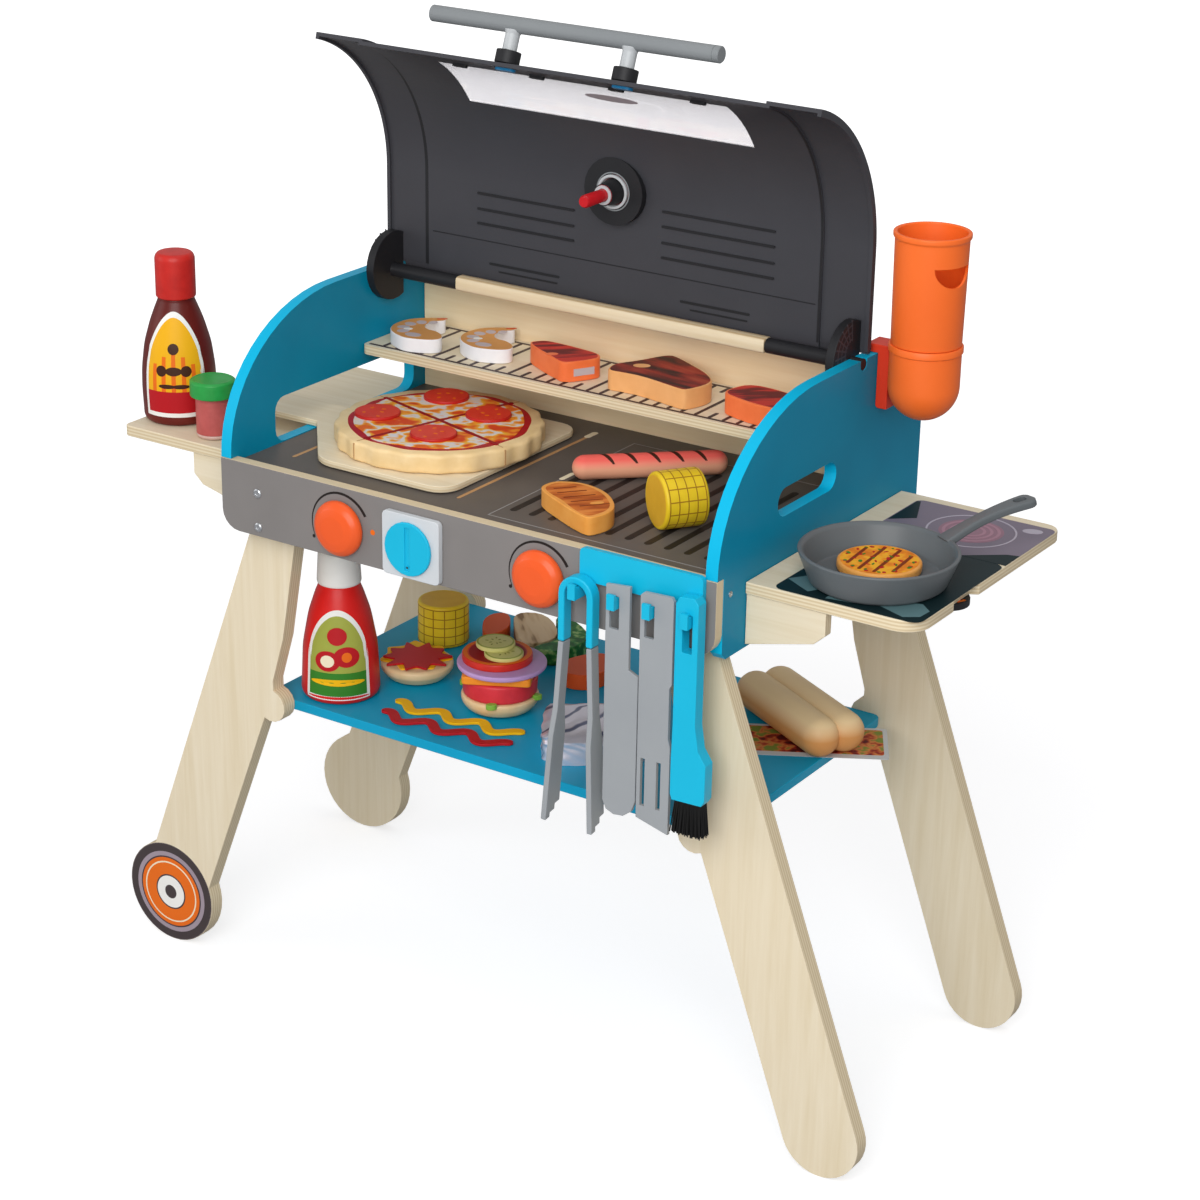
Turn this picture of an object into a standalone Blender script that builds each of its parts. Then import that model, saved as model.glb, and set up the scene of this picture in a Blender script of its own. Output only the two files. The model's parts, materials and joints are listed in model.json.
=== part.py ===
import math

import bmesh
import bpy
from mathutils import Matrix, Vector

# Metres. X runs to the right along the fascia, Y to the back, Z up. The floor is at zero.
GAP = 0.0003

BODY_HALF_WIDTH = 0.250
PANEL_THICKNESS = 0.011
PANEL_BOTTOM = 0.443
PANEL_TOP = 0.637
PANEL_BACK = 0.335
PANEL_NOSE = 0.001
PANEL_CURVE_END = 0.150
PANEL_CORNER = 0.006
FASCIA_THICKNESS = 0.011
FASCIA_BOTTOM = 0.4485
FASCIA_TOP = 0.513
FASCIA_CORNER = 0.018
COOKTOP_TOP = 0.5095
COOKTOP_THICKNESS = 0.009
BACK_PANEL_FRONT = 0.279
BACK_PANEL_THICKNESS = 0.010
BACK_PANEL_TOP = 0.615
RACK_FRONT = 0.184
RACK_TOP = 0.571
RACK_THICKNESS = 0.009
RACK_CORNER = 0.006

# The opening in the left panel that the pizza peel slides out of, and the grip slot in the right panel.
OVEN_Y = (0.0615, 0.262)
OVEN_Z = (0.5102, 0.551)
OVEN_CORNER = 0.012
GRIP_Y = (0.091, 0.186)
GRIP_Z = (0.5375, 0.562)

# The lid turns about this line, shown raised.
HINGE_Y = 0.224
HINGE_Z = 0.633
HINGE_PIN_RADIUS = 0.005
SLEEVE_RADIUS = 0.0066
HINGE_BAR_INSET = 0.0913
HINGE_BAR_SIDE = 0.013
HINGE_BAR_CORNER = 0.003
EAR_RADIUS = 0.0315
EAR_RISE = 0.004
EAR_THICKNESS = 0.008

LID_SIDE_INSET = 0.003
LID_WALL = 0.0035
LID_SEAM_INSET = 0.049
LID_STEP = 0.002
LID_FLANGE = 0.006
LID_BACK_Y = 0.241
LID_FOOT_Z = 0.640
LID_MIDDLE_FOOT_Z = 0.6285
LID_BEND_Z = 0.725
LID_BEND_RADIUS = 0.138
WINDOW_X = (-0.139, 0.146)
WINDOW_WALL = 0.003
HANDLE_STAND_OFF = 0.0311
HANDLE_RADIUS = 0.007
HANDLE_LENGTH = 0.283
POST_X = 0.0575
POST_RADIUS = 0.0065
POST_COLLAR_RADIUS = 0.0105
POST_COLLAR_HEIGHT = 0.011
GAUGE_HOLE_RADIUS = 0.018
GAUGE_DIAL_RADIUS = 0.030
GAUGE_DIAL_THICKNESS = 0.007
GAUGE_RING_RADIUS = 0.0295
GAUGE_RING_HEIGHT = 0.007
GAUGE_RECESS_RADIUS = 0.0155
GAUGE_RECESS_FLOOR = 0.002
SPINDLE_CUP_RADIUS = 0.0145
SPINDLE_CUP_TOP = 0.0065
SPINDLE_HUB_RADII = (0.0110, 0.0080)
SPINDLE_HUB_TOP = 0.0220
SPINDLE_TIP_RADIUS = 0.0055
SPINDLE_TIP_TOP = 0.0525

TABLE_TOP = 0.500
TABLE_THICKNESS = 0.010
TABLE_LENGTH = 0.152
TABLE_Y = (0.044, 0.305)
TABLE_FRONT_CORNER = 0.022
TABLE_BACK_CORNER = 0.014
TABLE_TIP_CORNER = 0.006
TABLE_NOTCH = ((0.0, 0.106), (0.007, 0.110), (0.007, 0.146), (0.0, 0.150))
BRACKET_Y = (0.046, 0.056)
BRACKET_OUTLINE = ((0.446, 0.0003), (0.458, 0.050), (0.461, 0.062), (0.470, 0.072))
HOB_DIAL_INSET = 0.020
HOB_DIAL_Y = 0.135
HOB_DIAL_RADIUS = 0.018
HOB_DIAL_THICKNESS = 0.006

LEG_THICKNESS = 0.015
FRONT_LEG_Y = 0.024
REAR_LEG_Y = 0.318
LEG_TOP = 0.498
LEG_OUTER = ((-0.032, 0.498), (-0.0115, 0.443))
LEG_INNER = ((-0.031, 0.301), (-0.044, 0.345), (-0.059, 0.435), (-0.070, 0.498))
LEG_INNER_FOOT = (-0.0205, 0.2635)
LUG_X = -0.028
LUG_Z = 0.2765
LUG_RADIUS = 0.0155
FOOT_X = 0.102
FOOT_RADIUS = 0.036
WHEEL_X = 0.101
WHEEL_RADIUS = 0.050
SHELF_INSET = 0.012
SHELF_TOP = 0.280
SHELF_THICKNESS = 0.009
SHELF_CORNER = 0.008

KNOB_PROFILE = ((0.020, 0.011), (0.0235, 0.009), (0.0245, 0.005), (0.023, 0.0003))
LEFT_KNOB = (-0.1195, 0.477)
RIGHT_KNOB = (0.0845, 0.479)
DIAL_PLATE_X = (-0.071, -0.0125)
DIAL_PLATE_Z = (0.450, 0.506)
DIAL_PLATE_THICKNESS = 0.006
DIAL_PLATE_CORNER = 0.004
DIAL = (-0.043, 0.477)
DIAL_RADIUS = 0.0235
DIAL_THICKNESS = 0.003
DIAL_SLOT_HALF_WIDTH = 0.0025
DIAL_SLOT_HALF_LENGTH = 0.019
DIAL_SLOT_DEPTH = 0.0015

SMOKER_OUT = 0.0385
SMOKER_Y = 0.258
SMOKER_BASE_PROFILE = (
    (0.0, 0.5875),
    (0.015, 0.591),
    (0.0245, 0.601),
    (0.0272, 0.614),
    (0.0272, 0.650),
    (0.0297, 0.650),
    (0.0297, 0.614),
    (0.0270, 0.599),
    (0.017, 0.588),
    (0.0, 0.585),
)
SMOKER_CUP_PROFILE = (
    (0.0, 0.6385),
    (0.0243, 0.6385),
    (0.0243, 0.652),
    (0.0268, 0.655),
    (0.0285, 0.744),
    (0.0320, 0.744),
    (0.0320, 0.740),
    (0.0305, 0.738),
    (0.0293, 0.6503),
    (0.0268, 0.6503),
    (0.0268, 0.636),
    (0.0, 0.636),
)
SMOKER_FLANGE_HALF_WIDTH = 0.011
SMOKER_FLANGE_OUT = 0.0108
SMOKER_FLANGE_Z = (0.590, 0.6445)
SMOKER_HOOK_IN = 0.0105
SCOOP_HALF_WIDTH = 0.017
SCOOP_Z = (0.704, 0.720)
SCOOP_REACH = (0.016, 0.046)

HANGER_X = (0.126, 0.241)
HANGER_Z = (0.489, 0.517)
HANGER_THICKNESS = 0.005
HANGER_CORNER = 0.004
HOOK_X = (0.130, 0.167, 0.200, 0.235)
HOOK_HALF_WIDTH = 0.0036
HOOK_Z = (0.478, 0.488)
HOOK_STEM_TOP = 0.495
HOOK_LIP_TOP = 0.491
HOOK_LIP_Y = (-0.0233, -0.0203)
BLADE_Y = (-0.0170, -0.0135)
EYE_HALF_WIDTH = 0.0045
BLADE_EYE_Z = (0.4600, 0.4883)
KNIFE_OUTLINE = (
    (0.1590, 0.497),
    (0.1815, 0.499),
    (0.1815, 0.428),
    (0.1905, 0.424),
    (0.1905, 0.315),
    (0.1870, 0.305),
    (0.1790, 0.299),
    (0.1700, 0.298),
    (0.1625, 0.301),
    (0.1590, 0.309),
)
SPATULA_OUTLINE = (
    (0.1915, 0.495),
    (0.1945, 0.498),
    (0.2200, 0.499),
    (0.2220, 0.496),
    (0.2220, 0.425),
    (0.2200, 0.422),
    (0.2200, 0.378),
    (0.2220, 0.372),
    (0.2220, 0.294),
    (0.1915, 0.302),
)
SPATULA_SLOTS = ((0.1950, 0.1990), (0.2100, 0.2140))
SPATULA_SLOT_Z = (0.3135, 0.3555)
BRUSH_Y = (-0.0173, -0.0057)
BRUSH_EYE_Z = (0.4560, 0.4883)
BRUSH_OUTLINE = (
    (0.2240, 0.496),
    (0.2275, 0.502),
    (0.2410, 0.503),
    (0.2448, 0.498),
    (0.2448, 0.395),
    (0.2480, 0.375),
    (0.2555, 0.364),
    (0.2555, 0.333),
    (0.2525, 0.328),
    (0.2250, 0.327),
    (0.2232, 0.332),
    (0.2232, 0.364),
    (0.2236, 0.376),
    (0.2240, 0.395),
)
BRISTLE_X = (0.2275, 0.2515)
BRISTLE_Y = (-0.0165, -0.0060)
BRISTLE_TOP = 0.3267
BRISTLE_BACKING = 0.002
BRISTLE_LENGTH = 0.029
BRISTLE_COUNTS = (22, 14)
BRISTLE_HALF_SHARE = 0.26
BRISTLE_TIP_SHARE = 0.55
BRISTLE_SPREAD_SHARE = 0.22
YOKE_X = 0.130
YOKE_ARCH_Z = 0.4788
YOKE_INNER_RADIUS = 0.0105
YOKE_OUTER_RADIUS = 0.0165
YOKE_FOOT_Z = 0.4375
ARM_TOP_GAP = 0.0008
ARM_THICKNESS = 0.005
ARM_LENGTH = 0.160
ARM_OUTLINE = (
    (-0.0170, 0.0),
    (-0.0060, 0.0),
    (-0.0055, -0.060),
    (-0.0015, -0.084),
    (-0.0010, -0.150),
    (-0.0075, -0.151),
    (-0.0075, -0.156),
    (-0.0140, -0.157),
    (-0.0140, -0.161),
    (-0.0205, -0.162),
    (-0.0200, -0.084),
    (-0.0165, -0.060),
)
LEFT_ARM_TILT_SHARE = 0.080
RIGHT_ARM_TILT_SHARE = -0.035

PAN_OUT = 0.0842
PAN_Y = 0.106
PAN_PROFILE = (
    (0.0, 0.5046),
    (0.052, 0.5046),
    (0.0595, 0.5255),
    (0.0622, 0.528),
    (0.0647, 0.527),
    (0.0637, 0.5245),
    (0.0550, 0.5025),
    (0.052, 0.5003),
    (0.0, 0.5003),
)
PAN_HANDLE_START = 0.0600
PAN_HANDLE_Z = 0.5238
PAN_HANDLE_LENGTH = 0.0895
PAN_HANDLE_HALF_WIDTHS = (0.0080, 0.0068, 0.0095)
PAN_HANDLE_THICKNESS = 0.006
PAN_HANDLE_HOLE = (0.0035, 0.0200, 0.0080)
PATTY_OFFSET = (-0.006, 0.0135)
PATTY_RADIUS = 0.034
PATTY_THICKNESS = 0.008

PEEL_Y = 0.141
PEEL_RIGHT = 0.201
PEEL_SHOULDER = 0.079
PEEL_TAPER_END = 0.001
PEEL_HALF_WIDTH = 0.102
PEEL_CORNERS = (0.020, 0.030)
PEEL_SHOULDER_SWEEP = 50.0
PEEL_BOTTOM = 0.5105
PEEL_THICKNESS = 0.006
PEEL_HANDLE_OUT = 0.070
PEEL_HANDLE_HALF_WIDTH = 0.024
PIZZA_CENTRE = (0.121, 0.139)
PIZZA_RADIUS = 0.0911
PIZZA_SCALLOP = 0.0016
PIZZA_THICKNESS = 0.0175
SCALLOPS = 26

SAUSAGE_PLACE = (0.36625, 0.184)
SAUSAGE_RADIUS = 0.0107
SAUSAGE_LENGTH = 0.135
CORN_RADIUS = 0.024
CORN_LENGTH = 0.038
CORN_EDGE = 0.0025
GRILL_CORN_CENTRE = (0.6140, 0.096)
SHELF_CORN_CENTRE = (-0.182, 0.230)
SHELF_CORN_HEIGHT = 0.041
CHICKEN_CENTRE = (0.3000, 0.068)
CHICKEN_THICKNESS = 0.016
CHICKEN_OUTLINE = (
    (-0.0393, 0.0027),
    (-0.0407, 0.0106),
    (-0.0382, 0.0216),
    (-0.0314, 0.0266),
    (-0.0200, 0.0319),
    (-0.0045, 0.0311),
    (0.0116, 0.0248),
    (0.0235, 0.0157),
    (0.0359, 0.0013),
    (0.0403, -0.0129),
    (0.0382, -0.0259),
    (0.0342, -0.0345),
    (0.0271, -0.0340),
    (0.0095, -0.0267),
    (-0.0136, -0.0144),
    (-0.0297, -0.0054),
)
SHRIMP_THICKNESS = 0.013
LEFT_SHRIMP_CENTRE = (-0.7800, 0.223)
RIGHT_SHRIMP_CENTRE = (-0.5080, 0.236)
SHRIMP_OUTLINE = (
    (-0.0040, 0.0360),
    (-0.0170, 0.0290),
    (-0.0270, 0.0200),
    (-0.0320, 0.0090),
    (-0.0320, -0.0090),
    (-0.0240, -0.0230),
    (-0.0120, -0.0310),
    (0.0020, -0.0355),
    (0.0160, -0.0315),
    (0.0250, -0.0270),
    (0.0300, -0.0205),
    (0.0280, -0.0130),
    (0.0210, -0.0065),
    (0.0120, -0.0020),
    (0.0040, -0.0030),
    (-0.0050, 0.0030),
    (-0.0090, 0.0130),
    (-0.0080, 0.0230),
    (-0.0010, 0.0300),
)
SALMON_THICKNESS = 0.0183
LEFT_SALMON_CENTRE = (-0.1960, 0.221)
LEFT_SALMON_OUTLINE = (
    (-0.0380, 0.0080),
    (-0.0350, 0.0150),
    (-0.0290, 0.0220),
    (-0.0130, 0.0225),
    (0.0130, 0.0200),
    (0.0300, 0.0170),
    (0.0370, 0.0110),
    (0.0390, 0.0030),
    (0.0260, -0.0200),
    (0.0190, -0.0240),
    (0.0090, -0.0190),
    (-0.0150, -0.0070),
)
RIGHT_SALMON_CENTRE = (0.6520, 0.220)
RIGHT_SALMON_OUTLINE = (
    (-0.0380, -0.0110),
    (-0.0360, 0.0080),
    (-0.0300, 0.0210),
    (-0.0130, 0.0240),
    (0.0220, 0.0180),
    (0.0370, 0.0080),
    (0.0370, -0.0150),
    (0.0270, -0.0240),
    (0.0020, -0.0240),
    (-0.0180, -0.0190),
)
STEAK_THICKNESS = 0.018
STEAK_CENTRE = (0.2280, 0.233)
STEAK_OUTLINE = (
    (-0.0433, -0.0298),
    (-0.0481, -0.0193),
    (-0.0480, -0.0084),
    (-0.0367, 0.0108),
    (-0.0290, 0.0310),
    (-0.0234, 0.0388),
    (-0.0176, 0.0395),
    (0.0030, 0.0294),
    (0.0277, 0.0157),
    (0.0407, 0.0042),
    (0.0472, -0.0048),
    (0.0475, -0.0183),
    (0.0423, -0.0341),
    (0.0383, -0.0388),
    (0.0172, -0.0338),
    (-0.0119, -0.0277),
    (-0.0319, -0.0285),
)

SAUCE_CENTRE = (0.1265, 0.0925)
SAUCE_PROFILE = (
    (0.0155, 0.154),
    (0.018, 0.150),
    (0.018, 0.114),
    (0.0165, 0.111),
    (0.0190, 0.105),
    (0.0240, 0.092),
    (0.0300, 0.071),
    (0.0330, 0.048),
    (0.0335, 0.030),
    (0.0325, 0.004),
    (0.030, 0.0),
)
SHAKER_CENTRE = (0.066, 0.0685)
SHAKER_PROFILE = (
    (0.019, 0.054),
    (0.0205, 0.052),
    (0.0205, 0.031),
    (0.018, 0.028),
    (0.0158, 0.027),
    (0.0158, 0.002),
    (0.014, 0.0),
)
KETCHUP_CENTRE = (-0.187, 0.081)
KETCHUP_PROFILE = (
    (0.0160, 0.139),
    (0.0185, 0.135),
    (0.0200, 0.108),
    (0.0185, 0.105),
    (0.0215, 0.098),
    (0.0280, 0.078),
    (0.0335, 0.048),
    (0.0355, 0.005),
    (0.033, 0.0),
)
BUN_CENTRE = (-0.150, 0.146)
BUN_PROFILE = ((0.028, 0.017), (0.032, 0.014), (0.033, 0.009), (0.026, 0.002), (0.018, 0.0))
BURGER_CENTRE = (-0.049, 0.134)
BURGER_PROFILE = (
    (0.020, 0.061),
    (0.022, 0.058),
    (0.022, 0.0535),
    (0.031, 0.053),
    (0.0315, 0.0475),
    (0.031, 0.0465),
    (0.040, 0.046),
    (0.040, 0.0415),
    (0.0385, 0.041),
    (0.0385, 0.0345),
    (0.0355, 0.034),
    (0.0355, 0.0185),
    (0.036, 0.017),
    (0.035, 0.0095),
    (0.029, 0.002),
    (0.020, 0.0),
)
LOAF_CENTRE = (0.192, 0.249)
LOAF_LENGTH = 0.142
LOAF_RADIUS = 0.018
LOAF_HALF_SPLIT = 0.0125
FOIL_CENTRE = (0.064, 0.115)
FOIL_HALF_SIZES = (0.047, 0.044, 0.0135)

# Angles, in degrees.
GAUGE_TURN = 6.0
LID_BEND_END = 75.0
WINDOW_TURN = (34.5, 62.0)
POST_TURN = 69.2
SCOOP_TURN = 63.0
PAN_HANDLE_TURN = 60.6
PAN_HANDLE_RISE = 15.0
SAUSAGE_TURN = 42.8
GRILL_CORN_TURN = 55.0
LOAF_TURN = -29.0
FOIL_TURN = 33.0
WHEEL_TURN = (70.0, -200.0)
FOOT_TURN = (20.0, -160.0)

PLY = ("ply", (0.80, 0.66, 0.45), 0.6, 0.0)
TEAL = ("teal_paint", (0.01, 0.42, 0.62), 0.45, 0.0)
GREY = ("grey_paint", (0.22, 0.20, 0.19), 0.5, 0.0)
COOKTOP_PAINT = ("cooktop_paint", (0.11, 0.095, 0.085), 0.5, 0.0)
LID_PLASTIC = ("lid_plastic", (0.04, 0.04, 0.045), 0.5, 0.0)
WINDOW_PLASTIC = ("window_plastic", (0.85, 0.88, 0.9), 0.1, 0.0)
STEEL_PLASTIC = ("steel_plastic", (0.22, 0.24, 0.25), 0.4, 0.2)
ORANGE = ("orange_plastic", (0.85, 0.10, 0.015), 0.35, 0.0)
RED = ("red_paint", (0.55, 0.01, 0.01), 0.4, 0.0)
CYAN = ("cyan_plastic", (0.0, 0.46, 0.68), 0.4, 0.0)
WHITE = ("white_plastic", (0.62, 0.62, 0.60), 0.5, 0.0)
BLACK = ("black_bristle", (0.01, 0.01, 0.01), 0.6, 0.0)
FOOD = ("food_paint", (0.75, 0.30, 0.08), 0.55, 0.0)
CRUST = ("crust_wood", (0.72, 0.50, 0.25), 0.6, 0.0)
YELLOW = ("yellow_paint", (0.75, 0.55, 0.02), 0.5, 0.0)
SAUCE = ("sauce_brown", (0.18, 0.02, 0.01), 0.4, 0.0)
GREEN = ("green_paint", (0.04, 0.35, 0.10), 0.4, 0.0)
FOIL = ("foil_paper", (0.5, 0.52, 0.58), 0.35, 0.6)

for old in list(bpy.data.objects):
    bpy.data.objects.remove(old, do_unlink=True)
bpy.context.scene.unit_settings.scale_length = 1.0
grill = bpy.data.collections.new("toy_barbecue_grill")
cutters = bpy.data.collections.new("cutters")
for made in (grill, cutters):
    bpy.context.scene.collection.children.link(made)
cutters.hide_render = True
paints = {}

TURNS = {"XY": (0, 0, 0), "XZ": (math.pi / 2, 0, 0), "YZ": (math.pi / 2, 0, math.pi / 2)}


def painted(paint):
    name, colour, roughness, metallic = paint
    if name not in paints:
        material = bpy.data.materials.new(name)
        material.use_nodes = True
        shader = material.node_tree.nodes["Principled BSDF"]
        shader.inputs["Base Color"].default_value = (*colour, 1)
        shader.inputs["Roughness"].default_value = roughness
        shader.inputs["Metallic"].default_value = metallic
        paints[name] = material
    return paints[name]


def placed(name, data, paint):
    obj = bpy.data.objects.new(name, data)
    if paint is None:
        cutters.objects.link(obj)
        obj.hide_render = True
        obj.display_type = "WIRE"
    else:
        grill.objects.link(obj)
        data.materials.append(painted(paint))
    return obj


def arc(centre, radius, start, end, count):
    """Points from one angle to another, in degrees."""
    turns = [math.radians(start + (end - start) * i / count) for i in range(count + 1)]
    return [(centre[0] + radius * math.cos(t), centre[1] + radius * math.sin(t)) for t in turns]


def rectangle(across, up, corner=0.0, count=4):
    (left, right), (low, high) = across, up
    if not corner:
        return [(left, low), (right, low), (right, high), (left, high)]
    corners = (
        ((right - corner, low + corner), -90),
        ((right - corner, high - corner), 0),
        ((left + corner, high - corner), 90),
        ((left + corner, low + corner), 180),
    )
    return [point for centre, turn in corners for point in arc(centre, corner, turn, turn + 90, count)]


def mirrored(outline):
    return [(-x, y) for x, y in reversed(outline)]


def level(plane, low, high):
    middle = (low + high) / 2
    return {"XY": (0, 0, middle), "XZ": (0, middle, 0), "YZ": (middle, 0, 0)}[plane]


def plate(name, paint, plane, low, high, outline, holes=()):
    """A flat piece cut to an outline, between two levels across its plane."""
    curve = bpy.data.curves.new(name, "CURVE")
    curve.dimensions = "2D"
    curve.fill_mode = "BOTH"
    curve.extrude = (high - low) / 2
    for loop in (outline, *holes):
        spline = curve.splines.new("POLY")
        spline.points.add(len(loop) - 1)
        spline.use_cyclic_u = True
        for point, (across, up) in zip(spline.points, loop):
            point.co = (across, up, 0, 1)
    obj = placed(name, curve, paint)
    obj.rotation_euler = TURNS[plane]
    obj.location = level(plane, low, high)
    return obj


def prism(name, paint, plane, low, high, outline):
    """The same as a mesh, for what a Boolean works on."""
    half = (high - low) / 2
    mesh = bpy.data.meshes.new(name)
    shape = bmesh.new()
    face = shape.faces.new([shape.verts.new((across, up, -half)) for across, up in outline])
    grown = bmesh.ops.extrude_face_region(shape, geom=[face])["geom"]
    risen = [item for item in grown if isinstance(item, bmesh.types.BMVert)]
    bmesh.ops.translate(shape, verts=risen, vec=(0, 0, 2 * half))
    bmesh.ops.recalc_face_normals(shape, faces=shape.faces)
    shape.to_mesh(mesh)
    shape.free()
    obj = placed(name, mesh, paint)
    obj.rotation_euler = TURNS[plane]
    obj.location = level(plane, low, high)
    return obj


def box(name, paint, xs, ys, zs):
    return prism(name, paint, "XY", zs[0], zs[1], rectangle(xs, ys))


def turned(name, paint, profile, centre, steps=24, turn=(0, 0, 0)):
    """A lathe piece. The profile runs down its outer side, as radius and height."""
    mesh = bpy.data.meshes.new(name)
    count = len(profile)
    mesh.from_pydata([(r, 0, z) for r, z in profile], [(i, i + 1) for i in range(count - 1)], [])
    obj = placed(name, mesh, paint)
    screw = obj.modifiers.new("Turn", "SCREW")
    screw.steps = screw.render_steps = steps
    screw.use_merge_vertices = True
    screw.merge_threshold = 0.00001
    obj.location = centre
    obj.rotation_euler = turn
    return obj


def solid_profile(profile):
    return ((0, profile[0][1]), *profile, (0, profile[-1][1]))


def combine(obj, operation, *others):
    for other in others:
        step = obj.modifiers.new(operation.title(), "BOOLEAN")
        step.operation = operation
        step.solver = "EXACT"
        step.object = other


def axle(name, paint, radius, xs, y, z, count=16):
    return prism(name, paint, "YZ", xs[0], xs[1], arc((y, z), radius, 0, 360 - 360 / count, count - 1))


def on_pivot(name, place, pieces):
    """Hangs the pieces of one moving body from an empty on its axis."""
    pivot = bpy.data.objects.new(name, None)
    grill.objects.link(pivot)
    pivot.location = place
    for piece in pieces:
        piece.parent = pivot
        piece.matrix_parent_inverse = Matrix.Translation(Vector(place)).inverted()


# The body: two curved side panels, the fascia across their front, the back, the cooktop and the rack.
inner_half = BODY_HALF_WIDTH - PANEL_THICKNESS
nose_z = FASCIA_TOP + GAP
panel_front = FASCIA_THICKNESS + GAP
notch = HINGE_PIN_RADIUS + GAP
curve_y = PANEL_CURVE_END - PANEL_NOSE
curve_z = PANEL_TOP - nose_z
panel_outline = [
    (panel_front, PANEL_BOTTOM + PANEL_CORNER),
    (panel_front + PANEL_CORNER, PANEL_BOTTOM),
    (PANEL_BACK - PANEL_CORNER, PANEL_BOTTOM),
    (PANEL_BACK, PANEL_BOTTOM + PANEL_CORNER),
    (PANEL_BACK, PANEL_TOP - PANEL_CORNER),
    (PANEL_BACK - PANEL_CORNER, PANEL_TOP),
    (HINGE_Y + notch, PANEL_TOP),
    *arc((HINGE_Y, HINGE_Z), notch, 0, -180, 6),
    (HINGE_Y - notch, PANEL_TOP),
]
for i in range(15):
    turn = math.radians(90 + 90 * i / 14)
    across = PANEL_CURVE_END + curve_y * math.cos(turn)
    panel_outline.append((across, nose_z + curve_z * math.sin(turn)))
panel_outline.append((panel_front, nose_z))
oven_opening = rectangle(OVEN_Y, OVEN_Z, OVEN_CORNER)
grip_opening = rectangle(GRIP_Y, GRIP_Z, (GRIP_Z[1] - GRIP_Z[0]) / 2 - GAP, 5)
plate(
    "left_side_panel", TEAL, "YZ", -BODY_HALF_WIDTH, -inner_half, panel_outline, [oven_opening]
)
plate("right_side_panel", TEAL, "YZ", inner_half, BODY_HALF_WIDTH, panel_outline, [grip_opening])

corner = FASCIA_CORNER
fascia_outline = [
    *arc((BODY_HALF_WIDTH - corner, FASCIA_BOTTOM + corner), corner, -90, 0, 5),
    (BODY_HALF_WIDTH, FASCIA_TOP),
    (-BODY_HALF_WIDTH, FASCIA_TOP),
    *arc((-BODY_HALF_WIDTH + corner, FASCIA_BOTTOM + corner), corner, 180, 270, 5),
]
plate("front_fascia", GREY, "XZ", 0, FASCIA_THICKNESS, fascia_outline)
between = (-inner_half + GAP, inner_half - GAP)
between = (between[0] - GAP / 3, between[1] + GAP / 3)
back_edge = BACK_PANEL_FRONT - GAP
plate(
    "cooktop",
    COOKTOP_PAINT,
    "XY",
    COOKTOP_TOP - COOKTOP_THICKNESS,
    COOKTOP_TOP,
    rectangle(between, (panel_front, back_edge)),
)
plate(
    "back_panel",
    PLY,
    "XZ",
    BACK_PANEL_FRONT,
    BACK_PANEL_FRONT + BACK_PANEL_THICKNESS,
    rectangle(between, (PANEL_BOTTOM, BACK_PANEL_TOP)),
)
rack_outline = [
    *arc((between[0] + RACK_CORNER, RACK_FRONT + RACK_CORNER), RACK_CORNER, 180, 270, 3),
    *arc((between[1] - RACK_CORNER, RACK_FRONT + RACK_CORNER), RACK_CORNER, -90, 0, 3),
    (between[1], back_edge),
    (between[0], back_edge),
]
plate("warming_rack", PLY, "XY", RACK_TOP - RACK_THICKNESS, RACK_TOP, rack_outline)

# The lid: a shell bent about one line, with a shallow step down each side and a flange at each end.
bend = (LID_BACK_Y - LID_BEND_RADIUS, LID_BEND_Z)


def lid_point(turn, depth):
    """A point at this depth under the lid's outer face, which is vertical below the bend."""
    angle = math.radians(max(turn, 0))
    radius = LID_BEND_RADIUS - depth
    y = bend[0] + radius * math.cos(angle)
    return y, (LID_FOOT_Z if turn < 0 else bend[1] + radius * math.sin(angle))


lid_half = BODY_HALF_WIDTH - LID_SIDE_INSET
seam_x = BODY_HALF_WIDTH - LID_SEAM_INSET
step_x = seam_x - LID_WALL
flange_x = lid_half - LID_WALL
section = [
    (step_x, LID_STEP),
    (step_x, 0),
    (lid_half, 0),
    (lid_half, LID_FLANGE),
    (flange_x, LID_FLANGE),
    (flange_x, LID_WALL),
    (seam_x, LID_WALL),
    (seam_x, LID_STEP + LID_WALL),
]
section = section + [(-x, depth) for x, depth in reversed(section)]
stations = [-1.0, *[LID_BEND_END * i / 10 for i in range(11)]]
shape = bmesh.new()
rings = []
for station in stations:
    rings.append([shape.verts.new((x, *lid_point(station, depth))) for x, depth in section])
middle_foot = [rings[0][i] for i in (0, 7, 8, 15)]
for corner_vert in middle_foot:
    corner_vert.co.z = LID_MIDDLE_FOOT_Z
for near, far in zip(rings, rings[1:]):
    for i in range(len(section)):
        j = (i + 1) % len(section)
        shape.faces.new((near[i], near[j], far[j], far[i]))
shape.faces.new(middle_foot)
for first in (0, 8):
    steps_down = (first, first + 1, first + 6, first + 7)
    shape.faces.new([rings[0][i] for i in steps_down])
    shape.faces.new(rings[0][first + 1 : first + 7])
shape.faces.new(rings[-1])
bmesh.ops.recalc_face_normals(shape, faces=shape.faces)
lid_mesh = bpy.data.meshes.new("lid_shell")
shape.to_mesh(lid_mesh)
shape.free()
lid = placed("lid_shell", lid_mesh, LID_PLASTIC)


def bent_strip(depths, turns, count):
    outer, inner = depths
    low, high = turns
    angles = [low + (high - low) * i / count for i in range(count + 1)]
    return [lid_point(t, outer) for t in angles] + [lid_point(t, inner) for t in reversed(angles)]


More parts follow.
